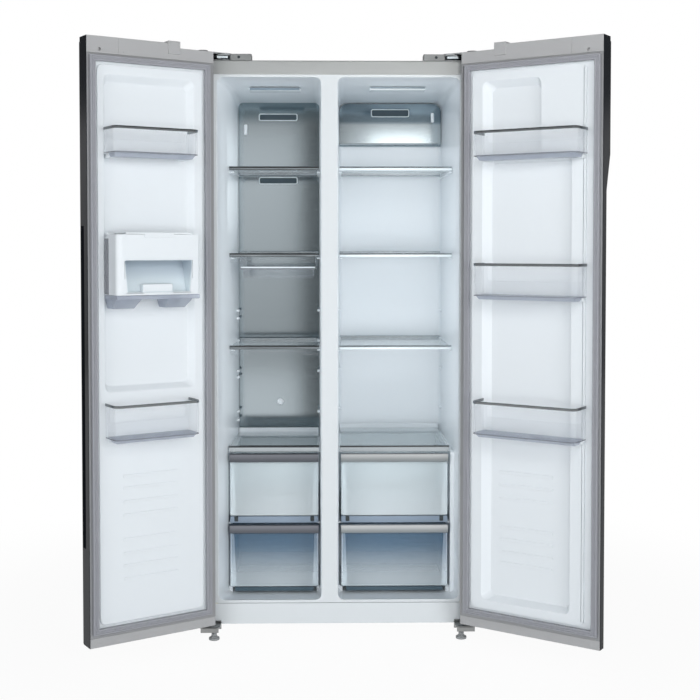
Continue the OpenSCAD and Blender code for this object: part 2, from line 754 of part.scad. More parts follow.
right_pocket_u = [66, 350];
right_pocket_z = [140, 1436];
top_pocket_u = [66, 256];
top_pocket_z = [1428, 1664];
right_ribs = [516, 479, 440, 354, 318, 281, 248];
module right_door_liner() color(white) on_right_door() {
    slopes = [30, 8, 14, 10];
    difference() {
        union() {
            liner_plate(right_door_w);
            pocket([right_pocket_u[0] - 3, right_pocket_u[1] + 3], [right_pocket_z[0] - 3, right_pocket_z[1] + 3],
                   pocket_d + 2.6, slopes);
            pocket([top_pocket_u[0] - 3, top_pocket_u[1] + 3], [top_pocket_z[0] - 3, top_pocket_z[1] + 3],
                   pocket_d + 2.6, slopes);
        }
        pocket(right_pocket_u, right_pocket_z, pocket_d, slopes);
        pocket(top_pocket_u, top_pocket_z, pocket_d, slopes);
        block([0, -0.2, 0], [right_door_w, 2, 2000]);
    }
    for (i = [0:2]) bin_lugs(right_bin_u, right_bin_tops[i] - right_bin_heights[i]);
    for (z = right_ribs) block([rib_u[0], -pocket_d - 1, z], [rib_u[1], -pocket_d + rib_h, z + 9]);
    // the dike along the free side, broken at the bins
    for (z = [[125, 600], [760, 1010], [1160, 1400], [1540, 1680]])
        block([388, -1, z[0]], [392, 6, z[1]]);
}

module door_gasket(w) {
    difference() {
        block([gasket_edge, 0.1, gasket_z[0]], [w - gasket_free, gasket_h, gasket_z[1]]);
        block([gasket_edge + gasket_w, -1, gasket_z[0] + gasket_w],
              [w - gasket_free - gasket_w, gasket_h + 1, gasket_z[1] - gasket_w]);
    }
}

module door_caps(w) {
    difference() {
        union() {
            block([0, frame_out, cap_z[1] + 0.2], [w, 0, hinge_top]);
            block([stop_u[1] - 2, frame_out, hinge_top - 1], [w, 0, door_top]);
            block([stop_u[0], frame_out + 8, hinge_top - 1], [stop_u[1], 0, door_top + 6]);
            block([0, frame_out, door_bottom], [w, 0, cap_z[0] - 0.2]);
        }
        // hollow undersides, away from the hinge pins and the grips
        block([44, frame_out + 3, cap_z[1] - 1], [w - grip_d - 4, -3, hinge_top - 3]);
        block([44, frame_out + 3, door_bottom + 3], [w - grip_d - 4, -3, cap_z[0] + 1]);
        translate([pin_inset, -pin_depth, hinge_top - 18]) cylinder(h = 30, r = hinge_pin_r + hinge_gap);
        translate([pin_inset, -pin_depth, door_bottom - 1]) cylinder(h = 22, r = hinge_pin_r + hinge_gap);
    }
}

module door_glass(w) {
    block([0, -door_t, door_bottom + 2], [w, -door_t + glass_t, hinge_top]);
}

module left_door_glass() color(black_glass) on_left_door() door_glass(left_door_w);
module right_door_glass() color(black_glass) on_right_door() difference() {
    door_glass(right_door_w);
    corner_grip(0);
}

module left_door_frame() color(frame_grey) on_left_door() difference() {
    union() {
        door_frame(left_door_w);
        grip_lining(left_door_w) groove_grip(grip_wall);
    }
    groove_grip(0);
}
module right_door_frame() color(frame_grey) on_right_door() difference() {
    union() {
        door_frame(right_door_w);
        grip_lining(right_door_w) corner_grip(grip_wall);
    }
    corner_grip(0);
}
module left_door_foam() color(foam_yellow) on_left_door() door_foam(left_door_w, pocket_d);
module right_door_foam() color(foam_yellow) on_right_door() door_foam(right_door_w, pocket_d);
module left_door_gasket() color(frame_grey) on_left_door() door_gasket(left_door_w);
module right_door_gasket() color(frame_grey) on_right_door() door_gasket(right_door_w);
module left_door_caps() color(frame_grey) on_left_door() door_caps(left_door_w);
module right_door_caps() color(frame_grey) on_right_door() difference() {
    door_caps(right_door_w);
    corner_grip(0);
}

// ---------------------------------------------------------------- door bins

bin_t = 2.4;
bin_rim = 10;
bin_back = 1.8;
// outline with its two front corners rounded
module bin_outline(w, d, r) {
    square([w, d - r]);
    translate([r, 0]) square([w - 2 * r, d]);
    for (x = [r, w - r]) translate([x, d - r]) circle(r);
}

module bin(u, top, h) {
    w = u[1] - u[0];
    d = bin_d - bin_back;
    translate([u[0], bin_back, top - h]) difference() {
        union() {
            linear_extrude(h) bin_outline(w, d, bin_corner);
            translate([-1.2, 0, h - bin_rim]) linear_extrude(bin_rim) bin_outline(w + 2.4, d + 1.2, bin_corner + 1.2);
        }
        translate([bin_t, bin_t, bin_t]) linear_extrude(h)
            bin_outline(w - 2 * bin_t, d - 2 * bin_t, bin_corner - bin_t);
        // the back wall is lower than the front
        translate([bin_t, -1, 40]) cube([w - 2 * bin_t, bin_t + 2, h]);
    }
}

module left_door_upper_bin() color(clear_blue) on_left_door() bin(left_bin_u, left_bin_tops[0], left_bin_heights[0]);
module left_door_lower_bin() color(clear_blue) on_left_door() bin(left_bin_u, left_bin_tops[1], left_bin_heights[1]);
module right_door_upper_bin() color(clear_blue) on_right_door()
    bin(right_bin_u, right_bin_tops[0], right_bin_heights[0]);
module right_door_middle_bin() color(clear_blue) on_right_door()
    bin(right_bin_u, right_bin_tops[1], right_bin_heights[1]);
module right_door_lower_bin() color(clear_blue) on_right_door()
    bin(right_bin_u, right_bin_tops[2], right_bin_heights[2]);

// ---------------------------------------------------------------- ice box on the freezer door

ice_wall = 2.6;
ice_split = 1148;
scoop_u = [114, 318];
scoop_z = [1054, 1144];
scoop_d = 34;
lid_u = [116, 316];
lid_t = 5;
lid_hinge_y = 10;
lid_pin_r = 2;
module ice_box() color(white) on_left_door() difference() {
    union() {
        difference() {
            block([ice_u[0], 2, ice_z[0]], [ice_u[1], ice_d, ice_z[1] - lid_t - 0.4]);
            // ice space above, open at the top
            block([ice_u[0] + ice_wall, 2 + ice_wall, ice_split + 3],
                  [ice_u[1] - ice_wall, ice_d - ice_wall, ice_z[1] + 1]);
        }
        // ears that carry the lid's pins
        for (x = [ice_u[0], lid_u[1] + 0.5])
            block([x, 2, ice_z[1] - 16], [x == ice_u[0] ? lid_u[0] - 0.5 : ice_u[1], 18, ice_z[1]]);
    }
    // room for the lid's knuckle
    block([lid_u[0] - 0.5, 1, ice_z[1] - 13], [lid_u[1] + 0.5, 5.5, ice_z[1] + 1]);
    // the scoop in the front, where the cubes are taken out
    sideways([[ice_d + 1, scoop_z[0]], [ice_d + 1, scoop_z[1]], [ice_d - scoop_d, scoop_z[1]],
              [ice_d - 14, scoop_z[0]]], scoop_u[0], scoop_u[1]);
    // the seam between cover and base
    block([ice_u[0] - 1, ice_d - 0.8, ice_split - 0.5], [ice_u[1] + 1, ice_d + 1, ice_split + 0.5]);
    translate([lid_u[0] - 8, lid_hinge_y, ice_z[1] - 6]) rotate([0, 90, 0])
        cylinder(h = lid_u[1] - lid_u[0] + 16, r = lid_pin_r + 0.05);
}

module ice_box_lid() color(white) on_left_door() {
    block([lid_u[0], lid_hinge_y, ice_z[1] - lid_t], [lid_u[1], ice_d + 2.5, ice_z[1]]);
    translate([lid_u[0] - 7, lid_hinge_y, ice_z[1] - 6]) rotate([0, 90, 0])
        cylinder(h = lid_u[1] - lid_u[0] + 14, r = lid_pin_r);
    translate([lid_u[0], lid_hinge_y, ice_z[1] - 6]) rotate([0, 90, 0])
        cylinder(h = lid_u[1] - lid_u[0], r = 5);
    // finger tab over the front edge
    block([172, ice_d + 0.4, ice_z[1] - 15], [260, ice_d + 2.5, ice_z[1] - 1]);
}

// ---------------------------------------------------------------- shelves

shelf_glass = 4;
trim_h = 12;
apron_h = 30;
// x0, x1 at the front and the back; the glass narrows with the walls
module shelf(front, back, y1, top, apron) {
    upright([[front[0] + 1, shelf_y + 6], [front[1] - 1, shelf_y + 6], [back[1], y1], [back[0], y1]],
            top - 8, top - 8 + shelf_glass);
    block([front[0], shelf_y, top - trim_h], [front[1], shelf_y + 12, top]);
    block([back[0], y1 - 8, top - 11], [back[1], y1, top + 4]);
    if (apron) difference() {
        block([front[0] + 2, shelf_y + 4, top - apron_h], [front[1] - 2, shelf_y + 12, top - trim_h + 1]);
        sideways([[shelf_y, top - apron_h - 1], [shelf_y + 20, top - apron_h - 1],
                  [shelf_y + 20, top - apron_h + 9], [shelf_y, top - apron_h + 9]],
                 front[0] + 52, front[1] - 44);
    }
}

freezer_shelf_front = [-335.3, -57];
freezer_shelf_back = [-328.5, -61.5];
fridge_shelf_front = [6.6, 355.8];
fridge_shelf_back = [10.2, 353];
freezer_shelf_end = 408;
fridge_shelf_end = 492;
module freezer_shelf(i) {
    shelf(freezer_shelf_front, freezer_shelf_back, freezer_shelf_end, shelf_tops[i], true);
}
module fridge_shelf(i) {
    shelf(fridge_shelf_front, fridge_shelf_back, fridge_shelf_end, shelf_tops[i], false);
}

module freezer_shelf_upper() color(clear_blue) placed() freezer_shelf(0);

tray_x = [-301, -69.5];
tray_z = [1083, 1118];
tray_y = [137, 398];
rail_lip = 5;
rail_t = 3;
module freezer_shelf_middle() color(clear_blue) placed() {
    freezer_shelf(1);
    // two hanging rails that carry the ice tray
    for (s = [[tray_x[0] - 0.6, -1], [tray_x[1] + 0.6, 1]]) {
        wall = [min(s[0], s[0] + s[1] * rail_t), max(s[0], s[0] + s[1] * rail_t)];
        lip = [min(s[0] + s[1], s[0] - s[1] * rail_lip), max(s[0] + s[1], s[0] - s[1] * rail_lip)];
        block([wall[0], shelf_y + 11, tray_z[1] - 9], [wall[1], tray_y[1], shelf_tops[1] - 7]);
        block([lip[0], shelf_y + 11, tray_z[1] - 9], [lip[1], tray_y[1], tray_z[1] - 5]);
    }
}
module freezer_shelf_lower() color(clear_blue) placed() freezer_shelf(2);
module fridge_shelf_upper() color(clear_blue) placed() fridge_shelf(0);
module fridge_shelf_middle() color(clear_blue) placed() fridge_shelf(1);
module fridge_shelf_lower() color(clear_blue) placed() fridge_shelf(2);

module ice_tray() color(clear_blue) placed() {
    inset = rail_lip + 1;
    difference() {
        union() {
            block([tray_x[0] + inset, tray_y[0], tray_z[0]], [tray_x[1] - inset, tray_y[1] - 4, tray_z[1]]);
            block([tray_x[0], tray_y[0] + 6, tray_z[1] - 4.6], [tray_x[1], tray_y[1] - 4, tray_z[1]]);
        }
        block([tray_x[0] + inset + 2, tray_y[0] + 2, tray_z[0] + 2],
              [tray_x[1] - inset - 2, tray_y[1] - 6, tray_z[1] + 1]);
    }
}

// ---------------------------------------------------------------- drawers and their glass covers

freezer_drawer_front = [-333.6, -58.5];
freezer_drawer_back = [-322.5, -62.8];
fridge_drawer_front = [10.6, 342];
fridge_drawer_back = [12, 342];
freezer_cover_front = [-335.5, -56.8];
freezer_cover_back = [-327, -61.6];
fridge_cover_front = [6.5, 346];
fridge_cover_back = [10, 346];

module drawer_cover(front, back, y1) {
    upright([[front[0] + 1, drawer_y + 4], [front[1] - 1, drawer_y + 4], [back[1], y1], [back[0], y1]],
            cover_top - 8, cover_top - 4);
    block([front[0], drawer_y - 4, cover_top - 19], [front[1], drawer_y + 10, cover_top]);
    block([back[0], y1 - 8, cover_top - 19], [back[1], y1, cover_top + 9]);
}

module freezer_drawer_cover() color(clear_blue) placed()
    drawer_cover(freezer_cover_front, freezer_cover_back, 410);
module fridge_drawer_cover() color(clear_blue) placed()
    drawer_cover(fridge_cover_front, fridge_cover_back, 500);

drawer_t = 2.6;
module drawer(front, back, y1, z) {
    difference() {
        upright([[front[0], drawer_y], [front[1], drawer_y], [back[1], y1], [back[0], y1]], z[0], z[1]);
        upright([[front[0] + drawer_t, drawer_y + drawer_t], [front[1] - drawer_t, drawer_y + drawer_t],
                 [back[1] - drawer_t, y1 - drawer_t], [back[0] + drawer_t, y1 - drawer_t]],
                z[0] + drawer_t, z[1] + 1);
    }
}

lower_drawer_end = 336;
module freezer_upper_drawer() color(clear_blue) placed()
    drawer(freezer_drawer_front, freezer_drawer_back, 404, upper_drawer);
module freezer_lower_drawer() color(clear_blue) placed()
    drawer(freezer_drawer_front, freezer_drawer_back, lower_drawer_end, lower_drawer);
module fridge_upper_drawer() color(clear_blue) placed()
    drawer(fridge_drawer_front, fridge_drawer_back, 495, upper_drawer);
module fridge_lower_drawer() color(clear_blue) placed()
    drawer(fridge_drawer_front, fridge_drawer_back, lower_drawer_end, lower_drawer);

handle_out = 12;
handle_h = 27;
// a bar along the top of a drawer's front, scooped out underneath for the fingers
module drawer_handle(front, top) {
    y0 = drawer_y - handle_out;
    sideways([[y0 + 2, top], [drawer_y - 0.2, top], [drawer_y - 0.2, top - handle_h],
              [drawer_y - 3, top - handle_h], [drawer_y - 4, top - handle_h + 14],
              [y0 + 2, top - handle_h + 4], [y0, top - handle_h + 6], [y0, top - 2]],
             front[0], front[1]);
}
module freezer_upper_handle() color(metal) placed() drawer_handle(freezer_drawer_front, 543);
module freezer_lower_handle() color(metal) placed() drawer_handle(freezer_drawer_front, 322);
module fridge_upper_handle() color(metal) placed() drawer_handle(fridge_drawer_front, 543);
module fridge_lower_handle() color(metal) placed() drawer_handle(fridge_drawer_front, 322);

cabinet_shell();
top_rail();
front_frame();
back_panel();
base_pan();
kick_plate();
insulation();
freezer_liner();
fridge_liner();
freezer_back_panel();
fridge_duct_cover();
evaporator();
evaporator_fan();
compressor();
condenser();
compressor_cover();
lamp_covers();
temperature_sensors();
upper_hinges();
lower_hinges();
hinge_covers();
left_foot();
right_foot();
rear_rollers();
left_door_glass();
left_door_frame();
left_door_foam();
left_door_liner();
left_door_gasket();
left_door_caps();
right_door_glass();
right_door_frame();
right_door_foam();
right_door_liner();
right_door_gasket();
right_door_caps();
left_door_upper_bin();
left_door_lower_bin();
right_door_upper_bin();
right_door_middle_bin();
right_door_lower_bin();
ice_box();
ice_box_lid();
freezer_shelf_upper();
freezer_shelf_middle();
freezer_shelf_lower();
fridge_shelf_upper();
fridge_shelf_middle();
fridge_shelf_lower();
freezer_drawer_cover();
fridge_drawer_cover();
freezer_upper_drawer();
freezer_lower_drawer();
fridge_upper_drawer();
fridge_lower_drawer();
freezer_upper_handle();
freezer_lower_handle();
fridge_upper_handle();
fridge_lower_handle();
ice_tray();
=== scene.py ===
import json
import math

import bmesh
import bpy
from mathutils import Matrix, Vector


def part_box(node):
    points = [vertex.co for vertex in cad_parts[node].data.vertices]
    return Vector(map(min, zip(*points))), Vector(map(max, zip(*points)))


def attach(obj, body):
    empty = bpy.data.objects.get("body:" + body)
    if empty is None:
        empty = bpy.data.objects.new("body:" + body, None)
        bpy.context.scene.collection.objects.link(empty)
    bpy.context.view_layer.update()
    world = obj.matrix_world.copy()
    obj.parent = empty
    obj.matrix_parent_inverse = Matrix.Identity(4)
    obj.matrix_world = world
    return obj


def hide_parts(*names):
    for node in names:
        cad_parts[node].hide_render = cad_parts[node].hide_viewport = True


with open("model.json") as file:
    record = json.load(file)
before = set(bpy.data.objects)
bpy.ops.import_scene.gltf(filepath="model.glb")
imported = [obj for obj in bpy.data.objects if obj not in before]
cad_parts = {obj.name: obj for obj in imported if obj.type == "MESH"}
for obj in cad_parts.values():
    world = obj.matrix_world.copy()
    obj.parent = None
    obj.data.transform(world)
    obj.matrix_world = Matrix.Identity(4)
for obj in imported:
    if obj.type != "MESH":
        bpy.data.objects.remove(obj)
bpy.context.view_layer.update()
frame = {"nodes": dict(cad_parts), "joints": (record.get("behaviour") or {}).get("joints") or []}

# ---------------------------------------------------------------- the studio
# A pale floor in an even white studio. Large soft lamps stand far to the left, to the right
# and in front, a small one nearer and higher throws the bins' shadows, and the air around
# gives the rest.

scene = bpy.context.scene
scene.view_settings.view_transform = "Standard"
# the back of a compartment is seen through several walls of clear plastic
scene.cycles.transparent_max_bounces = 32

shell_low, shell_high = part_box("cabinet_shell")
cabinet_middle = (shell_low.x + shell_high.x) / 2
cabinet_front = shell_low.y
# every piece is drawn in millimetres from the middle of the cabinet's front edge on the floor
to_frame = Matrix.Translation((cabinet_middle, cabinet_front, 0)) @ Matrix.Scale(0.001, 4)

eye = bpy.data.cameras.new("eye")
eye.lens = 61.65
eye.sensor_width = 36
eye.shift_y = -0.0937
camera = bpy.data.objects.new("eye", eye)
camera.location = (-0.0435, -3.7095, 1.1839)
camera.rotation_euler = (math.radians(88.15), 0, math.radians(-1))
scene.collection.objects.link(camera)
scene.camera = camera


def soft_lamp(name, place, aim, width, height, power, colour):
    lamp = bpy.data.lights.new(name, "AREA")
    lamp.shape = "RECTANGLE"
    lamp.size = width
    lamp.size_y = height
    lamp.energy = power
    lamp.color = colour
    stand = bpy.data.objects.new(name, lamp)
    stand.location = place
    stand.rotation_euler = (Vector(aim) - Vector(place)).to_track_quat("-Z", "Y").to_euler()
    scene.collection.objects.link(stand)
    return stand


for name, place, aim, width, height, power, colour in (
        ("high_lamp", (0.37, -2.05, 1.9), (0.05, 0.1, 1.0), 0.42, 0.42, 7, (1, 0.985, 0.965)),
        ("right_lamp", (3.9, -5.0, 1.9), (0, 0.1, 0.9), 3.0, 2.4, 128, (0.98, 0.99, 1)),
        ("left_lamp", (-3.9, -5.0, 1.9), (0, 0.1, 0.9), 3.0, 2.4, 102, (0.98, 0.99, 1)),
        ("front_lamp", (0.2, -5.5, 0.5), (0, 0.1, 0.9), 3.0, 0.8, 58, (0.96, 0.985, 1)),
        # a faint glow fills each compartment from its mouth
        ("freezer_glow", (-0.205, -0.09, 1.07), (-0.205, 0.4, 1.07), 0.26, 1.04, 0.38, (0.96, 0.99, 1)),
        ("fridge_glow", (0.165, -0.09, 1.07), (0.2, 0.4, 1.07), 0.28, 1.06, 0.46, (0.96, 0.99, 1))):
    soft_lamp(name, place, aim, width, height, power, colour).visible_glossy = False
# only this one shows in mirror images, as a bright patch on the fridge's air duct
soft_lamp("low_lamp", (0.42, -3.4, 1.6), (0.1, 0.1, 1.3), 0.4, 0.6, 1.9, (1, 0.985, 0.965))


class Link:
    """A socket of a finish, so that shader maths reads as plain arithmetic."""

    def __init__(self, finish, socket):
        self.finish = finish
        self.socket = socket

    def maths(self, operation, first, second):
        return self.finish.node("Math", {"operation": operation}, {0: first, 1: second})

    def __add__(self, other):
        return self.maths("ADD", self, other)

    __radd__ = __add__

    def __sub__(self, other):
        return self.maths("SUBTRACT", self, other)

    def __rsub__(self, other):
        return self.maths("SUBTRACT", other, self)

    def __mul__(self, other):
        return self.maths("MULTIPLY", self, other)

    __rmul__ = __mul__

    def __pow__(self, other):
        return self.maths("POWER", self, other)


class Wiring:
    """A tree of shader nodes."""

    def __init__(self, tree):
        self.tree = tree

    def node(self, kind, settings=None, sockets=None, out=0):
        """a new node of a kind; returns the socket that it gives out"""
        made = self.tree.nodes.new("ShaderNode" + kind)
        for key, value in (settings or {}).items():
            setattr(made, key, value)
        for key, value in (sockets or {}).items():
            self.fill(made.inputs[key], value)
        return Link(self, made.outputs[out]) if made.outputs else None

    def fill(self, socket, value):
        if isinstance(value, Link):
            self.tree.links.new(value.socket, socket)
        else:
            socket.default_value = (*value, 1) if socket.type == "RGBA" else value

    def rays(self, *kinds):
        """1 where a ray of any of these kinds looks, else 0"""
        looks = [self.node("LightPath", out=f"Is {kind} Ray") for kind in kinds]
        for look in looks[1:]:
            looks[0] = looks[0].maths("MAXIMUM", looks[0], look)
        return looks[0]

    def height(self, place):
        return self.node("SeparateXYZ", None, {"Vector": place}, out="Z")

    def ramp(self, value, start, end, first=0.0, last=1.0, kind="SMOOTHSTEP"):
        """runs from first to last while the value runs from start to end"""
        span = {"Value": value, "From Min": start, "From Max": end, "To Min": first, "To Max": last}
        return self.node("MapRange", {"interpolation_type": kind}, span)


class Finish(Wiring):
    """A material: one surface shader, and whatever nodes drive it."""

    def __init__(self, name, colour, roughness, **surface):
        self.material = bpy.data.materials.new(name)
        self.material.use_nodes = True
        super().__init__(self.material.node_tree)
        self.skin = self.tree.nodes["Principled BSDF"]
        self.set("Base Color", colour)
        self.set("Roughness", roughness)
        for socket, value in surface.items():
            self.set(socket.replace("_", " "), value)
        self.material.diffuse_color = (*colour, 1)

    def set(self, socket, value):
        self.fill(self.skin.inputs[socket], value)

    def place(self):
        return self.node("TexCoord", out="Object")

    def noise(self, waves, detail, rough=0.5):
        """noise with so many waves to the metre, all ways or along x, y and z"""
        stretch = waves if isinstance(waves, tuple) else (waves, waves, waves)
        spread = self.node("Mapping", None, {"Vector": self.place(), "Scale": stretch})
        return self.node("TexNoise", None,
                         {"Vector": spread, "Scale": 1.0, "Detail": detail, "Roughness": rough})

    def blend(self, share, first, second):
        return self.node("Mix", {"data_type": "RGBA"}, {0: share, 6: first, 7: second}, out=2)

    def bump(self, height, depth, strength):
        bump = self.node("Bump", None, {"Height": height, "Distance": depth, "Strength": strength})
        self.set("Normal", bump)

    def grain(self, waves, detail, depth, strength):
        self.bump(self.noise(waves, detail), depth, strength)
        return self

    def vary(self, low, spread, waves, detail, socket="Roughness"):
        """makes the gloss, or another value, differ from place to place"""
        self.set(socket, low + spread * self.noise(waves, detail))
        return self

    def hairlines(self, waves, low, spread, depth):
        """fine scratches along the metal, in its gloss and in its relief"""
        lines = self.noise(waves, 3.0, 0.6)
        self.set("Roughness", low + spread * lines)
        self.bump(lines, depth, 0.2)
        return lines

    def see_through(self, middle, rim, spread, power):
        """clear where it is seen face on, and denser where it is seen edge on"""
        facing_away = self.node("LayerWeight", None, {"Blend": spread}, out="Facing")
        self.set("Alpha", middle + rim * facing_away ** power)

    def by_height(self, start, end, low_colour, painted_top_colour):
        """one colour below a height and another above a second one; it paints shade and dark reflections
        onto the tops of things
        """
        share = self.ramp(self.height(self.place()), start, end)
        self.set("Base Color", self.blend(share, low_colour, painted_top_colour))


air = bpy.data.worlds.new("studio_air")
air.use_nodes = True
scene.world = air
air.node_tree.nodes.clear()
sky = Wiring(air.node_tree)
seen = sky.rays("Camera", "Transmission")
# in mirror images the white wall is bright at its top and ends below a dim ceiling
rise = sky.height(sky.node("TexCoord", out="Generated"))
mirrored_wall = sky.ramp(rise, 0.09, 0.12, 1.0, 0.14) * sky.ramp(rise, -0.12, 0.08, 0.5, 1.0, "LINEAR")
white_wall = sky.node("Background", None,
                      {"Color": (1, 1, 1), "Strength": seen.maths("MAXIMUM", mirrored_wall, seen)})
daylight = sky.node("Background", None, {"Color": (0.86, 0.93, 1), "Strength": 0.16})
either = sky.node("MixShader", None,
                  {0: sky.rays("Camera", "Transmission", "Glossy"), 1: daylight, 2: white_wall})
sky.node("OutputWorld", None, {"Surface": either})

# the floor takes shadows near the cabinet and is plain white two metres out
floor_paint = Finish("studio_floor", (0.9, 0.9, 0.9), 0.9)
lit = floor_paint.node("Emission", None, {"Color": (1.0, 1.0, 1.0), "Strength": 1.0})
seen_share = floor_paint.rays("Camera", "Glossy", "Transmission")
away = floor_paint.node("VectorMath", {"operation": "LENGTH"}, {0: floor_paint.place()}, out="Value")
share = seen_share * floor_paint.ramp(away, 0.9, 2.0, 0.95, 1.0)
plain = Link(floor_paint, floor_paint.skin.outputs[0])
both = floor_paint.node("MixShader", None, {0: share, 1: plain, 2: lit})
floor_paint.fill(floor_paint.tree.nodes["Material Output"].inputs["Surface"], both)

bpy.ops.mesh.primitive_plane_add(size=14, location=(0, 0, 0))
floor = bpy.context.object
floor.name = "studio_floor"
floor.data.materials.append(floor_paint.material)

# the dark tripod beside the camera, which only mirror images show
tripod_paint = Finish("tripod_shade", (0, 0, 0), 1.0,
                      Emission_Color=(0.9, 0.97, 1), Emission_Strength=0.12)
bpy.ops.mesh.primitive_plane_add(size=1, location=(-0.1, -3.45, 0.95), rotation=(math.radians(90), 0, 0))
tripod = bpy.context.object
tripod.name = "studio_tripod"
tripod.data.transform(Matrix.Diagonal((0.24, 2.1, 1, 1)))
for kind_of_ray in ("camera", "diffuse", "transmission", "volume_scatter", "shadow"):
    setattr(tripod, "visible_" + kind_of_ray, False)
tripod.data.materials.append(tripod_paint.material)

# ---------------------------------------------------------------- outer case
# One sheet of steel, folded over both sides and the top and painted grey. A separate rail
# of the same steel runs along the top of the front.


def clear_choice():
    if bpy.context.mode != "OBJECT":
        bpy.ops.object.mode_set(mode="OBJECT")
    bpy.ops.object.select_all(action="DESELECT")


def block(name, low, high):
    """a new box between two corners"""
    clear_choice()
    middle = [(a + b) / 2 for a, b in zip(low, high)]
    size = [b - a for a, b in zip(low, high)]
    bpy.ops.mesh.primitive_cube_add(size=1, location=middle, scale=size)
    bpy.ops.object.transform_apply(location=True, rotation=True, scale=True)
    piece = bpy.context.object
    piece.name = piece.data.name = name
    return piece


def rod(name, start, end, radius, sides=24):
    """a new round bar between two points"""
    clear_choice()
    start, end = Vector(start), Vector(end)
    turn = (end - start).to_track_quat("Z", "Y").to_euler()
    bpy.ops.mesh.primitive_cylinder_add(vertices=sides, radius=radius, depth=(end - start).length,
                                        location=(start + end) / 2, rotation=turn)
    bpy.ops.object.transform_apply(location=True, rotation=True, scale=True)
    piece = bpy.context.object
    piece.name = piece.data.name = name
    return piece


def take_up(piece):
    clear_choice()
    piece.select_set(True)
    bpy.context.view_layer.objects.active = piece


def pick(piece, kind, test):
    """goes into edit mode and selects the faces, edges or corners whose place and direction pass"""
    take_up(piece)
    bpy.ops.object.mode_set(mode="EDIT")
    bpy.ops.mesh.select_mode(type=kind)
    bpy.ops.mesh.select_all(action="DESELECT")
    shape = bmesh.from_edit_mesh(piece.data)
    if kind == "FACE":
        for face in shape.faces:
            face.select_set(bool(test(face.calc_center_median(), face.normal)))
    elif kind == "EDGE":
        for edge in shape.edges:
            start, end = edge.verts[0].co, edge.verts[1].co
            edge.select_set(bool(test((start + end) / 2, (end - start).normalized())))
    else:
        for corner in shape.verts:
            corner.select_set(bool(test(corner.co, corner.normal)))
    shape.select_flush_mode()
    bmesh.update_edit_mesh(piece.data)


def along(axis, where=lambda p: True):
    """tests that an edge runs along an axis and lies where it should"""
    return lambda p, d: abs(getattr(d, axis)) > 0.9 and where(p)


def facing(way):
    """tests that a face looks one way, such as +y"""
    sign = 1 if way[0] == "+" else -1
    return lambda p, n: sign * getattr(n, way[1]) > 0.9


def leave_edit():
    bpy.ops.object.mode_set(mode="OBJECT")


def round_over(piece, width, segments, test):
    pick(piece, "EDGE", test)
    bpy.ops.mesh.bevel(offset=width, segments=segments, affect="EDGES")
    leave_edit()
    return piece


def fill_box(piece, low, high):
    """stretches and moves what is selected until it fills the box between two corners"""
    places = [corner.co for corner in bmesh.from_edit_mesh(piece.data).verts if corner.select]
    now_low, now_high = (Vector([end(p[i] for p in places) for i in range(3)]) for end in (min, max))
    low, high = Vector(low), Vector(high)
    middle = (now_low + now_high) / 2
    scale = [(high[i] - low[i]) / (now_high[i] - now_low[i]) if now_high[i] - now_low[i] > 1e-4 else 1
             for i in range(3)]
    bpy.ops.transform.resize(value=scale, center_override=middle)
    bpy.ops.transform.translate(value=(low + high) / 2 - middle)


def taper(piece, way, low, high):
    """makes one side of a block fill the flat box between two corners"""
    pick(piece, "FACE", facing(way))
    fill_box(piece, low, high)
    leave_edit()
    return piece


def draw_out(piece, low, high):
    """extrudes the selected face until it fills the flat box between two corners"""
    bpy.ops.mesh.extrude_region_move()
    fill_box(piece, low, high)


def press(thickness, way):
    """insets the selected face and moves its middle in or out"""
    bpy.ops.mesh.inset(thickness=thickness)
    bpy.ops.mesh.extrude_region_move(TRANSFORM_OT_translate={"value": way})


def modify(piece, kind, **settings):
    take_up(piece)
    change = piece.modifiers.new(kind.lower(), kind)
    for key, value in settings.items():
        setattr(change, key, value)
    bpy.ops.object.modifier_apply(modifier=change.name)
    return piece


def soften(piece, width, segments=2, angle=40):
    """rounds every edge sharper than an angle"""
    return modify(piece, "BEVEL", width=width, segments=segments, limit_method="ANGLE",
                  angle_limit=math.radians(angle), harden_normals=False)


def rounded(name, low, high, width, segments=3):
    """a block with every edge rounded"""
    return soften(block(name, low, high), width, segments)


def carve(piece, *cutters):
    """takes the shape of each cutter out of a piece"""
    for cutter in cutters:
        modify(piece, "BOOLEAN", operation="DIFFERENCE", solver="EXACT", object=cutter)
        bpy.data.objects.remove(cutter, do_unlink=True)
    return piece


def merge(piece, *others):
    """joins other pieces into this one"""
    take_up(piece)
    for other in others:
        other.select_set(True)
    bpy.ops.object.join()
    return piece


def smooth(piece, angle=40):
    take_up(piece)
    bpy.ops.object.shade_smooth_by_angle(angle=math.radians(angle))
    return piece


def turn_inside_out(piece):
    """puts a mirrored piece's faces right"""
    take_up(piece)
    bpy.ops.object.mode_set(mode="EDIT")
    bpy.ops.mesh.select_all(action="SELECT")
    bpy.ops.mesh.flip_normals()
    leave_edit()


def set_in(piece, finish, body, slot, *nodes, where=to_frame):
    """moves a finished piece to its place in the frame, gives it its finish and fixes it to a body"""
    piece.data.transform(where)
    if where.determinant() < 0:
        turn_inside_out(piece)
    # broad faces stay flat and only the rounded edges turn the light
    modify(piece, "WEIGHTED_NORMAL", keep_sharp=True)
    piece.data.materials.clear()
    piece.data.materials.append(finish.material)
    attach(piece, body)
    if nodes:
        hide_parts(*nodes)


half_width = 418
front_half = 416.8  # the parts of the front end inside the folded sheet
cabinet_height = 1736
rail_height = 41
kick_height = 40

grey_steel = Finish("grey_painted_steel", (0.34, 0.35, 0.35), 0.38, Metallic=0.5)
grey_steel.vary(0.3, 0.16, 2600, 1.0).grain(60, 1.0, 0.0002, 0.25)

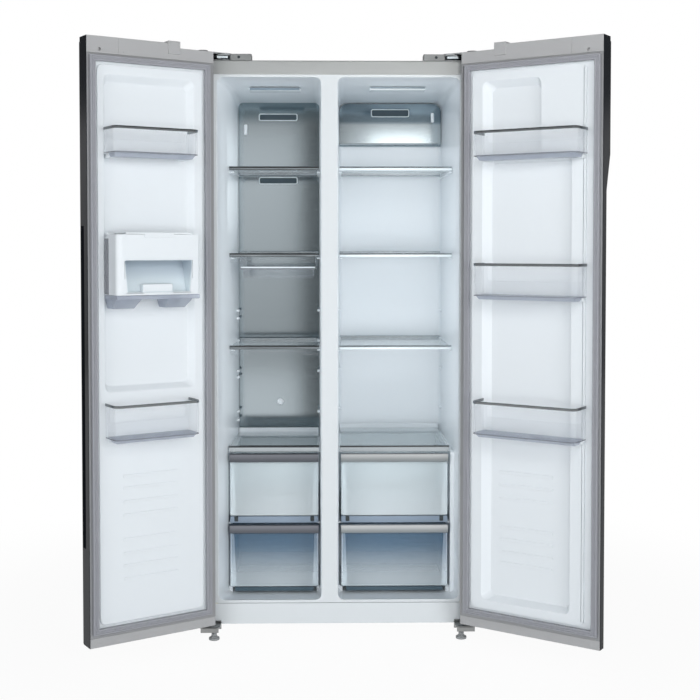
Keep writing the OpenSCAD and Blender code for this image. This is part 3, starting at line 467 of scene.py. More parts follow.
case = block("outer_case", (-half_width, 0, kick_height), (half_width, 561, cabinet_height))
pick(case, "FACE", lambda p, n: abs(n.y) > 0.9 or n.z < -0.9)
bpy.ops.mesh.delete(type="FACE")
round_over(case, 5, 4, along("y", lambda p: p.z > 1700))
modify(case, "SOLIDIFY", thickness=1, offset=-1)
set_in(smooth(case), grey_steel, "cabinet", "steel_panel", "cabinet_shell")

rail = block("front_rail", (-front_half, 0, cabinet_height - rail_height),
             (front_half, 9, cabinet_height - 1.1))
round_over(rail, 1.6, 3, along("x", lambda p: p.y < 1))
smooth(rail)
bright_steel = Finish("brushed_rail_steel", (0.54, 0.555, 0.55), 0.35, Metallic=0.5)
bright_steel.vary(0.28, 0.16, (12, 1500, 1500), 2.0)
set_in(rail, bright_steel, "cabinet", "steel_panel", "top_rail")

# ---------------------------------------------------------------- white front
# The face of the cabinet, folded from white enamelled steel round both compartments, with
# a plain kick plate below it.

frame_bottom = 104
freezer_mouth = (-360, -49.5)
fridge_mouth = (0, 365.5)
mouth_z = (112, 1687)
mouth_round = 18

white_enamel = Finish("white_enamel", (0.72, 0.755, 0.775), 0.3, Coat_Weight=0.3, Coat_Roughness=0.15)
white_enamel.grain(90, 1.0, 0.0002, 0.2)


def mouth_plug(mouth):
    plug = block("plug", (mouth[0], -5, mouth_z[0]), (mouth[1], 40, mouth_z[1]))
    return round_over(plug, mouth_round, 7, along("y"))


face_plate = block("front_face", (-front_half, 0, frame_bottom),
                   (front_half, 5, cabinet_height - rail_height - 0.2))
carve(face_plate, mouth_plug(freezer_mouth), mouth_plug(fridge_mouth))
round_over(face_plate, 3, 4, lambda p, d: p.y < 0.01 and abs(p.x) < 400 and 106 < p.z < 1690)
set_in(smooth(face_plate), white_enamel, "cabinet", "white_enamel", "front_frame")

kick = block("kick_face", (-front_half, 0, kick_height), (front_half, 12, frame_bottom - 1.4))
set_in(smooth(soften(kick, 1.5, 2)), white_enamel, "cabinet", "white_enamel", "kick_plate")

# ---------------------------------------------------------------- compartment liners
# Each compartment is one vacuum-formed shell of white plastic. Its throat flares towards
# the mouth, its corners are round, and its floor steps up over the machine space. Small
# lugs along the walls carry the shelves and the drawers.


def moulded_white(name, colour):
    """plastic with a thin shine and faint waves"""
    plastic = Finish(name, colour, 0.28, Coat_Weight=0.25, Coat_Roughness=0.1)
    return plastic.vary(0.26, 0.08, 30, 3.0).grain(160, 1.0, 0.00012, 0.3)


white_plastic = moulded_white("white_liner_plastic", (0.9, 0.945, 0.98))
throat_depth = 92
step_depth, step_height = 345, 262
shelf_tops = (1430, 1161, 873)


def compartment(name, mouth, throat, back, depth, throat_top, back_top):
    """the lining of a compartment, drawn from its mouth to its back"""
    low_floor = 105
    room = block(name, (mouth[0], 1, mouth_z[0]), (mouth[1], 8, mouth_z[1]))
    round_over(room, mouth_round, 7, along("y"))
    pick(room, "FACE", facing("+y"))
    draw_out(room, (throat[0], throat_depth, low_floor), (throat[1], throat_depth, throat_top))
    for short, inset in ((16, 0), (8, 2), (2, 7), (0, 14)):
        y = depth - short
        draw_out(room, (back[0] + inset, y, low_floor + inset), (back[1] - inset, y, back_top - inset))
    leave_edit()
    step = block("step", (back[0] - 60, step_depth, -50), (back[1] + 60, depth + 60, step_height))
    carve(room, round_over(step, 10, 4, along("x", lambda p: p.y < 350 and p.z > 200)))
    # the mouth comes off the closed hollow, and the rest gets a wall
    pick(room, "FACE", lambda p, n: n.y < -0.9 and p.y < 2)
    bpy.ops.mesh.delete(type="FACE")
    leave_edit()
    return modify(room, "SOLIDIFY", thickness=2, offset=1)


def lug(low, high, round_off=2.5, name="lug"):
    return rounded(name, low, high, round_off)


def lug_pair(left, right, y, z):
    """the same lug on the left wall and on the right"""
    return [lug((x[0], y[0], z[0]), (x[1], y[1], z[1])) for x in (left, right)]


def wall_bumps(wall_x, reach, y, heights):
    """small raised stops on a side wall"""
    low, high = sorted((wall_x, wall_x + reach))
    return [lug((low, y - 12, z - 4), (high, y + 12, z + 4), 3) for z in heights]


def ledge_pair(walls, ends):
    """ledges on both walls that the two drawers slide on"""
    made = []
    for side, reach in zip(walls, (14, -14)):
        low, high = sorted((side, side + reach))
        made.append(lug((low, 112, 319), (high, ends[0], 325.6)))
        made.append(lug((low, 112, 104), (high, ends[1], 124.6)))
    return made


freezer_room = compartment("freezer_liner_shell", freezer_mouth, (-338.5, -54), (-326, -58.8),
                           500, 1676, 1657)
lugs = lug_pair((-339, -321), (-65, -53), (112, 400), (541, 545.6))
for top in shelf_tops:
    lugs += lug_pair((-337, -322), (-64, -54), (160, 390), (top - 19, top - 14))
lugs += ledge_pair((-340, -52), (396, 329))
lugs += wall_bumps(-331, 9, 368, (970, 944, 870, 770, 749, 635, 607))
lugs += wall_bumps(-56, -9, 368, (970, 870, 770, 635))
set_in(smooth(merge(freezer_room, *lugs), 50), white_plastic, "cabinet", "white_plastic", "freezer_liner")

fridge_room = compartment("fridge_liner_shell", fridge_mouth, (4.2, 361), (7.9, 357),
                          515, 1676, 1669)
lugs = [lug((3, 112, 541), (14, 480, 545.6)),
        rounded("shoulder", (348.5, 92, 104), (368, 497, 545.7), 5, 4)]
for top in shelf_tops:
    lugs += lug_pair((3, 14), (349, 360), (160, 480), (top - 19, top - 14))
lugs += ledge_pair((2, 350), (480, 329))
lugs += wall_bumps(5, 9, 487, (965, 868, 766, 631))
lugs += wall_bumps(359, -9, 487, (965, 868, 766, 631))
set_in(smooth(merge(fridge_room, *lugs), 50), white_plastic, "cabinet", "white_plastic", "fridge_liner")

# ---------------------------------------------------------------- cold air panels
# The freezer's back is a panel of brushed steel with two air slots and a round service cap;
# the fridge has a shallow brushed box with one slot under its ceiling. The slots have pressed
# rims of bright metal.


def brushed(name, painted_reflection_from, painted_reflection_to, painted_reflection_colour):
    """hairline steel, painted dark above two heights as a painted reflection of the dim ceiling"""
    steel = Finish(name, (0.41, 0.47, 0.5), 0.1, Metallic=1.0)
    lines = steel.hairlines((14, 14, 2400), 0.06, 0.08, 0.00005)
    plain = steel.blend(lines, (0.36, 0.42, 0.455), (0.46, 0.52, 0.55))
    steel.by_height(painted_reflection_from, painted_reflection_to, plain, painted_reflection_colour)
    return steel


# the tops of the freezer's panel and the fridge's duct are painted dark, a painted reflection of the dim
# ceiling
brushed_steel = brushed("brushed_steel", 1.576, 1.63, (0.2, 0.265, 0.3))
duct_steel = brushed("duct_steel", 1.592, 1.608, (0.16, 0.215, 0.255))

bright_trim = Finish("bright_trim", (0.5, 0.55, 0.58), 0.22, Metallic=1.0)
bright_trim.vary(0.18, 0.12, (6, 900, 900), 2.0)

vent_x = (-257, -134)
vent_slots = ((1603, 1621), (1392, 1410))
duct_slot = (120, 244), (1624, 1645)


def slot_plug(x, z, y, deep=30):
    plug = block("plug", (x[0], y - deep, z[0]), (x[1], y + deep, z[1]))
    return round_over(plug, 4, 4, along("y"))


def slot_rim(name, x, z, y):
    """a pressed rim round a slot"""
    wide = 3
    rim = block(name, (x[0] - wide, y - wide, z[0] - wide), (x[1] + wide, y + 2, z[1] + wide))
    carve(round_over(rim, 6, 4, along("y")), slot_plug(x, z, y))
    return smooth(soften(rim, 1.2, 2))


panel = block("freezer_back", (-327.3, 420, 262.5), (-58.6, 423, 1660))
round_over(panel, 14, 5, along("y", lambda p: p.z > 1600))
carve(panel, *[slot_plug(vent_x, z, 421) for z in vent_slots])
set_in(smooth(soften(panel, 0.6, 2)), brushed_steel, "cabinet", "brushed_panel", "freezer_back_panel")

pressed_rim = Finish("pressed_rim", (0.8, 0.87, 0.9), 0.3).vary(0.24, 0.12, 60, 2.0)
slot_shade = Finish("slot_shade", (0.06, 0.09, 0.11), 0.5).grain(300, 1.0, 0.0002, 0.3)
rims = merge(*[slot_rim("freezer_slot_rims", vent_x, z, 420) for z in vent_slots])
set_in(rims, pressed_rim, "cabinet", "brushed_trim")


def slot_back(name, x, z, y):
    """the duct behind a slot: a dark sheet that paints the shade deep inside it"""
    return lug((x[0] - 2, y, z[0] - 2), (x[1] + 2, y + 1.6, z[1] + 2), 0.4, name)


backs = merge(*[slot_back("freezer_slot_backs", vent_x, z, 425) for z in vent_slots])
set_in(backs, slot_shade, "cabinet", "dark_plastic")

cap = rod("service_cap", (-190, 417, 661), (-190, 421, 661), 10, 32)
set_in(smooth(soften(cap, 1.5, 3, 60)), white_plastic, "cabinet", "white_plastic")

duct = block("fridge_duct", (9, 496, 1521), (355, 514, 1666))
round_over(duct, 30, 8, along("y", lambda p: p.z > 1600))
round_over(duct, 13, 8, along("x", lambda p: p.y < 500 and p.z < 1550))
carve(duct, slot_plug(*duct_slot, 496, 8))
set_in(smooth(duct), duct_steel, "cabinet", "brushed_panel", "fridge_duct_cover")
set_in(slot_rim("fridge_slot_rim", *duct_slot, 496), pressed_rim, "cabinet", "brushed_trim")
set_in(slot_back("fridge_slot_back", *duct_slot, 501), slot_shade, "cabinet", "dark_plastic")

# ---------------------------------------------------------------- lamps and sensors
# A frosted cover hides the lamp in each ceiling. A small white housing on each back wall
# holds the temperature sensor.

frosted = Finish("frosted_cover", (0.72, 0.77, 0.8), 0.5, Coat_Weight=0.2).grain(900, 1.0, 0.0001, 0.4)
lamp_shade = Finish("smoked_lens", (0.2, 0.26, 0.31), 0.3).vary(0.26, 0.1, 40, 2.0)


def lamp_cover(x, top):
    """the cover, with a slit above its lens where the air gets out"""
    cover = block("lamp_covers", (x[0], 120, top - 9), (x[1], 178, top))
    carve(cover, block("slit", (x[0] + 2, 110, top - 4.6), (x[1] - 2, 146, top - 1)))
    return smooth(soften(cover, 0.7, 2))


lamps = merge(lamp_cover((-272, -115), 1671.5), lamp_cover((100, 272), 1674))
set_in(lamps, frosted, "cabinet", "clear_plastic", "lamp_covers")
lens = lug((103, 119, 1665.2), (269, 121, 1669.2), 0.8, "fridge_lamp_lens")
set_in(smooth(lens), white_enamel, "cabinet", "clear_plastic")
shades = merge(lug((102, 118.6, 1669.4), (270, 121, 1673), 0.6, "lamp_slits"),
               lug((-270, 118.6, 1663.2), (-117, 121, 1670.6), 0.6))
set_in(shades, lamp_shade, "cabinet", "clear_plastic")

sensors = merge(lug((-309, 411, 1553), (-298, 420, 1588), 3, "sensor_housings"),
                lug((320, 487, 1602), (331, 496, 1635), 3))
set_in(smooth(sensors), white_plastic, "cabinet", "white_plastic", "temperature_sensors")

# ---------------------------------------------------------------- upper hinges and covers
# A zinc plated arm is screwed to the cabinet's top and holds each door's pin. A grey cover
# hides it: a low box with one screw, and a rounded housing with a gap for the arm.

pin_x = 397.6
pin_y = -40.7
grey_plastic = Finish("grey_moulding", (0.36, 0.37, 0.375), 0.45).grain(1500, 2.0, 0.00015, 0.35)
dark_plastic = Finish("dark_moulding", (0.035, 0.045, 0.05), 0.4).grain(1500, 2.0, 0.00015, 0.4)
zinc = Finish("zinc_plate", (0.55, 0.56, 0.56), 0.35, Metallic=1.0)
zinc.set("Base Color", zinc.blend(zinc.noise(40, 3.0), (0.24, 0.25, 0.255), (0.36, 0.365, 0.36)))
zinc.vary(0.28, 0.15, 120, 2.0)


def both_sides(right):
    """joins a piece to its own mirror image on the left"""
    left = right.copy()
    left.data = right.data.copy()
    scene.collection.objects.link(left)
    left.data.transform(Matrix.Scale(-1, 4, (1, 0, 0)))
    turn_inside_out(left)
    return merge(right, left)


arm_parts = [rounded(name, (pin_x + low[0], *low[1:]), (pin_x + high[0], *high[1:]), 0.8, 2)
             for name, low, high in (
                 ("arm", (-15, pin_y, 1754.2), (15, 30, 1758.2)),
                 ("wide", (-57, 8, 1754.3), (14.9, 30, 1758.1)),
                 ("drop", (-57, 26, 1736.2), (15, 30, 1758)),
                 ("base", (-57, 26.2, 1736.2), (15, 90, 1740)))]
for x in (pin_x - 45, pin_x - 21, pin_x + 3):
    arm_parts.append(soften(rod("screw", (x, 70, 1740), (x, 70, 1744), 6, 6), 0.8, 2))
hinge_arm = merge(rod("hinge_arms", (pin_x, pin_y, 1754.2), (pin_x, pin_y, 1758.2), 15, 40),
                  rod("pin", (pin_x, pin_y, 1736), (pin_x, pin_y, 1758.4), 5), *arm_parts)
set_in(both_sides(smooth(hinge_arm, 35)), zinc, "cabinet", "zinc_steel", "upper_hinges")

low_cover = rounded("hinge_cover_boxes", (257, 1, 1736.3), (320, 42, 1756), 1.6)
carve(low_cover, rod("hole", (295, -4, 1746.5), (295, 6, 1746.5), 4.4))
set_in(both_sides(smooth(low_cover)), grey_steel, "cabinet", "dark_plastic", "hinge_covers")

# the rounded housing: its lid tapers to a low nose, and its front is open for the arm
housing = block("hinge_housings", (316, -3, 1736.3), (416, 104, 1766.2))
round_over(housing, 24, 8, along("z", lambda p: p.x < 320))
pick(housing, "VERT", lambda p, n: p.z > 1750 and p.x < 345)
bpy.ops.transform.translate(value=(0, 0, -8))
leave_edit()
carve(housing, block("mouth", (322, -10, 1738.5), (414, 60, 1752)))
soften(housing, 1.2, 2)
set_in(both_sides(smooth(housing)), grey_plastic, "cabinet", "dark_plastic")

# the dark back of the housing's mouth and of the screw hole
mouth_back = merge(block("hinge_mouths", (322.5, 20, 1738.6), (413.5, 24, 1751.8)),
                   rod("hole_back", (295, 4, 1746.5), (295, 5.6, 1746.5), 4.3))
set_in(both_sides(smooth(mouth_back)), dark_plastic, "cabinet", "dark_plastic")

# the folded end of the arm's plate, which shows in the mouth
arm_end = lug((328, 4, 1743.4), (361, 9, 1750.2), 1, "hinge_arm_ends")
set_in(both_sides(smooth(arm_end)), pressed_rim, "cabinet", "zinc_steel")

# ---------------------------------------------------------------- lower hinges and feet
# A bent zinc bracket under each side holds the door's lower pin and the levelling foot,
# a round plastic disc on a threaded stud. Two rollers carry the back.

foot_x = 372
foot_y = -22

plate = block("lower_hinge_brackets", (352, pin_y - 14, 42), (pin_x + 15, -0.4, 46))
bracket = [
    round_over(plate, 9, 5, along("z", lambda p: p.y < -40)),
    block("back", (352, -6, 26), (pin_x + 15, -0.4, 51)),
    block("lip", (356, pin_y - 14, 30), (pin_x + 12, pin_y - 11, 45)),
    rod("nut", (foot_x, foot_y, 26), (foot_x, foot_y, 44), 11, 6),
    rod("seat", (pin_x, pin_y, 45), (pin_x, pin_y, 52.4), 12, 32),
    rod("pin", (pin_x, pin_y, 45), (pin_x, pin_y, 73), 5),
]
bracket = merge(*[soften(part, 0.8, 2) for part in bracket])
set_in(both_sides(smooth(bracket, 35)), zinc, "cabinet", "zinc_steel", "lower_hinges")

foot_grey = Finish("foot_plastic", (0.3, 0.31, 0.315), 0.5).grain(1200, 2.0, 0.00015, 0.4)

for side, node in ((-1, "left_foot"), (1, "right_foot")):
    x = side * foot_x
    disc = rod(node + "_disc", (x, foot_y, 0), (x, foot_y, 7), 16, 48)
    pick(disc, "FACE", facing("+z"))
    bpy.ops.mesh.inset(thickness=4)
    draw_out(disc, (x - 10, foot_y - 10, 11), (x + 10, foot_y + 10, 11))
    leave_edit()
    soften(disc, 1.2, 3, 30)
    parts = [soften(rod("key", (x, foot_y, 9), (x, foot_y, 20), 9, 6), 0.8, 2),
             rod("stud", (x, foot_y, 12), (x, foot_y, 48), 4.6, 20)]
    for i in range(24):
        a = i * math.tau / 24
        edge = x + 15.2 * math.cos(a), foot_y + 15.2 * math.sin(a)
        parts.append(rod("rib", (*edge, 1.2), (*edge, 6), 0.8, 8))
    for z in range(21, 39, 2):
        parts.append(rod("thread", (x, foot_y, z), (x, foot_y, z + 1.1), 5, 20))
    set_in(smooth(merge(disc, *parts), 35), foot_grey, node, "foot_plastic", node)

# ---------------------------------------------------------------- doors
# A door is foam between a sheet of black glass and a white liner, held in a folded grey
# frame with a moulded cap at each end and a magnetic gasket round the inside. In a door's own
# millimetres, x runs from the hinge edge, y towards the compartment when shut, and y = 0
# is its inner face.

pin_inset = 20.4
pin_depth = 28.9
door_t = 54
glass_back = -49.6
left_w, right_w = 391, 441
cap_z = (81, 1718)
hinge_top = 1753
door_top = 1766
door_bottom = 53

joints = {joint["name"]: joint for joint in frame["joints"]}


def hung(side):
    """places a door drawn from its hinge edge at the left of the cabinet, standing open"""
    open_angle = math.radians(-joints[side + "_door_hinge"]["range_deg"][0])
    to_pin = Matrix.Translation((-pin_inset, pin_depth, 0))
    return Matrix.Translation((-pin_x, pin_y, 0)) @ Matrix.Rotation(-open_angle, 4, "Z") @ to_pin


on_left = to_frame @ hung("left")
on_right = to_frame @ Matrix.Scale(-1, 4, (1, 0, 0)) @ hung("right")
doors = (("left", left_w, on_left), ("right", right_w, on_right))

black_glass = Finish("black_door_glass", (0.012, 0.013, 0.015), 0.05, Specular_IOR_Level=0.6)
black_glass.vary(0.03, 0.03, 8, 2.0)
door_grey = Finish("door_grey_steel", (0.33, 0.335, 0.345), 0.42, Metallic=0.25)
door_grey.vary(0.38, 0.12, 2200, 1.0)
edge_black = Finish("glossy_black_trim", (0.014, 0.016, 0.02), 0.1, Specular_IOR_Level=0.05)
edge_black.vary(0.1, 0.08, 20, 2.0)
cap_grey = Finish("door_cap_grey", (0.43, 0.43, 0.435), 0.5).grain(1600, 2.0, 0.00015, 0.35)
gasket_grey = Finish("gasket_vinyl", (0.34, 0.345, 0.375), 0.55).grain(500, 2.0, 0.0002, 0.3)

lining_t = 1.4


def corner_grip(spare=0):
    """the cut that takes away the fridge door's outer corner and fades out towards the top"""
    w = right_w
    reach, inner = w - 12 - spare, -27 + spare
    cut = block("cut", (reach, -door_t - 2, door_bottom - 5), (w + 3, inner, 1320))
    pick(cut, "FACE", facing("+z"))
    draw_out(cut, (reach, -door_t - 2, 1320), (w + 3, inner, 1320))
    draw_out(cut, (w - spare, -door_t - 2, 1440), (w + 3, inner, 1440))
    leave_edit()
    return cut


def groove_grip(spare=0):
    """the freezer door's finger groove, behind its glass"""
    w = left_w
    front, inner = glass_back + 0.4 - spare * 0.2, -26 + spare
    cut = block("cut", (w - 12 - spare, front, 342 - spare), (w + 3, inner, 1228 + spare))
    taper(cut, "+x", (w + 3, front, 328 - spare), (w + 3, inner, 1242 + spare))
    return round_over(cut, 5, 4, along("z", lambda p: p.x < w - 11 and p.y > -30))


for side, w, where in doors:
    body = side + "_door"
    grip = corner_grip if side == "right" else groove_grip
    flat_w = w - lining_t
    pane = block(body + "_pane", (0, -door_t, door_bottom + 2), (w, glass_back - 0.2, hinge_top))
    if side == "right":
        carve(pane, grip())
    soften(pane, 1.2, 3, 50)
    set_in(smooth(pane), black_glass, body, "door_glass", body + "_glass", where=where)

    # a glossy dark trim closes the free edge and lines the finger grip
    lining = block(body + "_edge", (w - 12 - lining_t, glass_back + 0.1, door_bottom + 0.3),
                   (w, -1.2, door_top - 0.3))
    carve(lining, grip())
    set_in(smooth(soften(lining, 0.6, 2, 50)), edge_black, body, "door_glass", where=where)

    edge_frame = block(body + "_case", (0, glass_back, cap_z[0]), (flat_w, 0, cap_z[1]))
    pick(edge_frame, "FACE", facing("+y"))
    bpy.ops.mesh.inset(thickness=5)
    draw_out(edge_frame, (5, -0.8, cap_z[0] + 2), (flat_w - 4, -0.8, cap_z[1] - 2))
    leave_edit()
    carve(edge_frame, block("well", (28, -26, 104), (w - 21, 5, 1699)), grip(lining_t))
    edge_frame = smooth(soften(edge_frame, 1.6, 3, 50))
    set_in(edge_frame, door_grey, body, "steel_panel", body + "_frame", body + "_foam", where=where)

    low_cap = block(body + "_ends", (0, glass_back, door_bottom), (flat_w, 0, cap_z[0] - 0.6))
    top_cap = block("top_cap", (0, glass_back, cap_z[1] + 0.6), (flat_w, 0, door_top))
    hole_x, hole_z = (352, 1730) if side == "left" else (396, 1727)
    carve(top_cap, block("lowered", (-5, -60, hinge_top), (128, 5, door_top + 9)),
          block("seam", (w - 96, -1.2, cap_z[1] - 2), (w - 95, 3, door_top + 5)),
          rod("hole", (hole_x, -8, hole_z), (hole_x, 4, hole_z), 4.6, 20))
    if side == "right":
        carve(low_cap, grip(lining_t))
    stop = block("stop", (107, -30, 1734), (145, 3, door_top + 6))
    pieces = [soften(part, 1.6, 3, 50) for part in (low_cap, top_cap, stop)]
    for x, z in ((30, 67), (w - 30, 67), (w - 112, 1728)):
        pieces.append(soften(rod("screw", (x, -1, z), (x, 0.4, z), 3.4, 20), 0.5, 2))
    set_in(smooth(merge(*pieces)), cap_grey, body, "grey_plastic", body + "_caps", where=where)

    seal = block(body + "_seal", (15, 0.1, 91), (w - 8, 11.4, 1712))
    carve(seal, block("inside", (31, -3, 107), (w - 24, 20, 1696)))
    pick(seal, "FACE", facing("+y"))
    press(4, (0, -2.5, 0))
    press(3, (0, 1.5, 0))
    leave_edit()
    soften(seal, 1.1, 3, 50)
    set_in(smooth(seal), gasket_grey, body, "gasket_rubber", body + "_gasket", where=where)

# ---------------------------------------------------------------- door liners
# The white inside of a door is vacuum-formed like the compartments: shallow recesses behind
# the bins, pressed ribs at the bottom, and a bead along the free edge of the fridge door.

door_plastic = moulded_white("white_door_plastic", (0.8, 0.84, 0.87))
recess_floor = -18


def recess(u, z, slopes):
    """a recess with sloping walls; slopes are hinge side, free side, bottom and top"""
    plug = block("recess", (u[0], recess_floor, z[0]), (u[1], 4, z[1]))
    taper(plug, "-y", (u[0] + slopes[0], recess_floor, z[0] + slopes[2]),
          (u[1] - slopes[1], recess_floor, z[1] - slopes[3]))
    return round_over(plug, 14, 6, lambda p, d: abs(d.y) > 0.2)


def rib(z, y):
    """one pressed rib with round ends"""
    bar = block("rib", (120, y - 4, z), (290, y + 2.4, z + 9))
    return soften(round_over(bar, 4.4, 5, along("y")), 2, 3)


left_bin_u, right_bin_u = (85, 342), (77, 396)
left_bins = (("upper", 1514, 73), ("lower", 742, 98))
right_bins = (("upper", 1512, 73), ("middle", 1134, 94), ("lower", 737, 96))
ice_u = (92, 341)
ice_z = (1047, 1221)

for side, w, where in doors:
    body = side + "_door"
    edge_u = 360 if side == "left" else 391
    rim = block("rim", (27, -24, 103), (w - 20, -5, 1700))
    skin = block(body + "_inside", (37, -24, 113), (edge_u, -0.2, 1690))
    round_over(skin, 18, 8, along("y"))
    carve(rim, block("through", (45, -30, 122), (edge_u - 8, 5, 1681)))
    if side == "left":
        carve(skin, recess((60, 342), (768, 1668), (20, 7, 18, 26)))
        parts = [rib(z, -0.4) for z in (525, 491, 452, 414, 344, 304, 269, 231)]
        bins, lug_x = left_bins, (91, 316)
    else:
        carve(skin, recess((64, 350), (136, 1438), (30, 7, 18, 16)),
              recess((64, 256), (1428, 1668), (30, 7, 14, 26)),
              block("bead_path", (382.5, -4, 125), (384.5, 3, 1680)))
        parts = [rib(z, recess_floor - 0.4) for z in (516, 479, 440, 354, 318, 281, 248)]
        bins, lug_x = right_bins, (83, 370)
        for low, high in ((125, 600), (760, 1010), (1160, 1400), (1540, 1680)):
            parts.append(rounded("bead", (384.5, -3, low), (390.5, 1.6, high), 2, 4))
    soften(skin, 3, 4, 18)
    for _, top, height in bins:
        z = top - height - 0.3
        parts += [lug((x, -19, z - 12), (x + 20, 16, z), 3) for x in lug_x]
    inside = smooth(merge(skin, rim, *parts), 35)
    set_in(inside, door_plastic, body, "white_plastic", body + "_liner", where=where)

# ---------------------------------------------------------------- door bins
# Each bin is moulded in clear plastic with thick walls and round front corners. A bright
# rail runs round its top edge.

clear_plastic = Finish("clear_plastic", (0.6, 0.64, 0.7), 0.08, Specular_IOR_Level=0.7)
clear_plastic.see_through(0.03, 0.6, 0.35, 2.6)
cloudy_plastic = Finish("cloudy_plastic", (0.53, 0.58, 0.68), 0.3).vary(0.5, 0.1, 30, 2.0, "Alpha")
dark_edge = Finish("plastic_edge_on", (0.24, 0.25, 0.28), 0.2).vary(0.6, 0.3, 12, 2.0, "Alpha")
rail_metal = Finish("bin_rail_metal", (0.2, 0.215, 0.225), 0.25, Metallic=1.0)
rail_metal.vary(0.14, 0.1, (8, 8, 900), 2.0)
bin_depth = 80
bin_draft = (0.985, 0.94, 1)  # a tub is that much narrower at its floor


def round_front(piece, radius):
    return round_over(piece, radius, 8, along("z", lambda p: p.y > bin_depth / 2))


def bin_body(name, u, top, height):
    tub = round_front(block(name, (u[0], 1.8, top - height), (u[1], bin_depth, top - 8)), 18)
    pick(tub, "FACE", facing("+z"))
    press(2.6, (0, 0, 10.6 - height))
    bpy.ops.transform.resize(value=bin_draft)
    leave_edit()
    lowered = block("lowered", (u[0] + 12, -4, top - height + 42), (u[1] - 12, 8, top + 5))
    carve(tub, round_over(lowered, 10, 4, along("y", lambda p: p.z < top - 10)))
    return smooth(soften(tub, 1.3, 3))


def bin_floor(name, u, low):
    """the textured floor"""
    mat = block(name, (u[0] + 4, 6, low + 2.7), (u[1] - 4, bin_depth - 4, low + 3.6))
    return smooth(round_front(mat, 15))


def bin_skirt(name, u, low):
    """the moulded foot under the floor, which drops behind the lugs of the door"""
    skirt = block(name, (u[0] + 7, 20, low - 11), (u[1] - 7, bin_depth - 12, low - 0.2))
    taper(skirt, "-z", (u[0] + 11, 20, low - 11), (u[1] - 11, bin_depth - 24, low - 11))
    return smooth(soften(skirt, 1.5, 2))


def bin_edge_line(name, u, low):
    """the thick front edge of the floor, which the plastic turns dark"""
    line = block(name, (u[0] - 0.3, 4, low + 0.2), (u[1] + 0.3, bin_depth + 0.3, low + 2.4))
    inner = block("inner", (u[0] + 1.4, -5, low - 9), (u[1] - 1.4, bin_depth - 1.4, low + 9))
    return smooth(carve(round_front(line, 18.3), round_front(inner, 16.6)))


def bin_rail(name, u, top):
    hoop = block(name, (u[0] - 1.2, 1.8, top - 8), (u[1] + 1.2, bin_depth + 1.0, top))
    inner = block("inner", (u[0] + 1.6, -5, top - 20), (u[1] - 1.6, bin_depth - 1.8, top + 9))
    carve(round_front(hoop, 19), round_front(inner, 16))
    return smooth(soften(hoop, 1.1, 2))


for (side, w, where), u, bins in zip(doors, (left_bin_u, right_bin_u), (left_bins, right_bins)):
    for level, top, height in bins:
        body = f"{side}_door_{level}_bin"
        tub = bin_body(body + "_tub", u, top, height)
        set_in(tub, clear_plastic, body, "clear_plastic", body, where=where)
        for part, make, finish in (("_floor", bin_floor, cloudy_plastic),
                                   ("_skirt", bin_skirt, cloudy_plastic),
                                   ("_line", bin_edge_line, dark_edge)):
            set_in(make(body + part, u, top - height), finish, body, "clear_plastic", where=where)
        set_in(bin_rail(body + "_rail", u, top), rail_metal, body, "brushed_trim", where=where)

# ---------------------------------------------------------------- ice box
# A white box on the freezer door: ice is kept in its upper half, under a hinged lid with a
# finger tab, and is taken out of the scoop below.

x0, x1 = ice_u
low, high = ice_z
box = block("ice_box_case", (x0, 2, low), (x1, 90, high - 6))
round_over(box, 16, 8, along("z", lambda p: p.y > 50 and p.x > 200))
round_over(box, 5, 4, along("z", lambda p: p.y > 80 and p.x < 200))
scoop = block("scoop", (114, 24, 1054), (318, 100, 1144))
taper(scoop, "-z", (121, 66, 1054), (311, 100, 1054))
round_over(scoop, 5, 4, lambda p, d: p.y < 80 and abs(d.x) < 0.9)
store = block("store", (x0 + 3, 5, 1151), (x1 - 3, 87, high + 3))
round_over(store, 15, 8, along("z", lambda p: p.y > 80 and p.x > 200))
seams = [block("seam", start, end) for start, end in (
    ((x0 - 2, 89.2, 1147.6), (x1 + 2, 95, 1148.4)),
    ((117, 80, 1051.2), (174, 95, 1052.8)),
    ((260, 80, 1051.2), (315, 95, 1052.8)),
    ((113, 86, 1092), (114.6, 95, 1143)),
    ((317.4, 86, 1092), (319, 95, 1143)))]
carve(box, scoop, store, *seams)
soften(box, 1.2, 2)
merge(box, rounded("tab", (172, 58, 1052), (262, 84, 1077), 2),
      lug((x0, 2, high - 16), (115.5, 18, high), 1.5), lug((316.5, 2, high - 16), (x1, 18, high), 1.5))
set_in(smooth(box), door_plastic, "ice_box", "white_plastic", "ice_box", where=on_left)

# the frosted inside of the scoop, a thin shell that lies on its walls; its colour is painted darker
# towards the top, as shade under the box's upper half
scoop_grey = Finish("frosted_scoop", (0.5, 0.56, 0.6), 0.35)
scoop_grey.by_height(1.076, 1.12, (0.72, 0.8, 0.84), (0.5, 0.57, 0.63))
shell = block("ice_box_scoop", (114.6, 24.4, 1054.6), (317.4, 88, 1143.4))
taper(shell, "-z", (121.6, 66.4, 1054.6), (310.4, 88, 1054.6))
hollow = block("hollow", (116.2, 26, 1057), (315.8, 100, 1142))
carve(shell, taper(hollow, "-z", (123.2, 68, 1056.2), (308.8, 100, 1056.2)))
set_in(smooth(shell), scoop_grey, "ice_box", "clear_plastic", where=on_left)

# a dark strip along the free side paints the shadow in the gap between the box and the door's liner
strip = lug((x1 - 0.4, 3, low + 1), (x1 + 0.9, 30, high - 17), 0.5, "ice_box_gap_shadow")
set_in(smooth(strip), dark_edge, "ice_box", "clear_plastic", where=on_left)

lid = rounded("ice_box_cover", (116, 10, high - 5), (316, 92.4, high), 1.4)
tab = block("tab", (172, 90.4, high - 15), (260, 92.5, high - 1))
round_over(tab, 5, 4, along("y", lambda p: p.z < high - 10))
merge(lid, soften(tab, 0.6, 2), rod("knuckle", (116, 10, high - 6), (316, 10, high - 6), 5),
      rod("pin", (109, 10, high - 6), (323, 10, high - 6), 2, 16))
set_in(smooth(lid), door_plastic, "ice_box_lid", "white_plastic", "ice_box_lid", where=on_left)

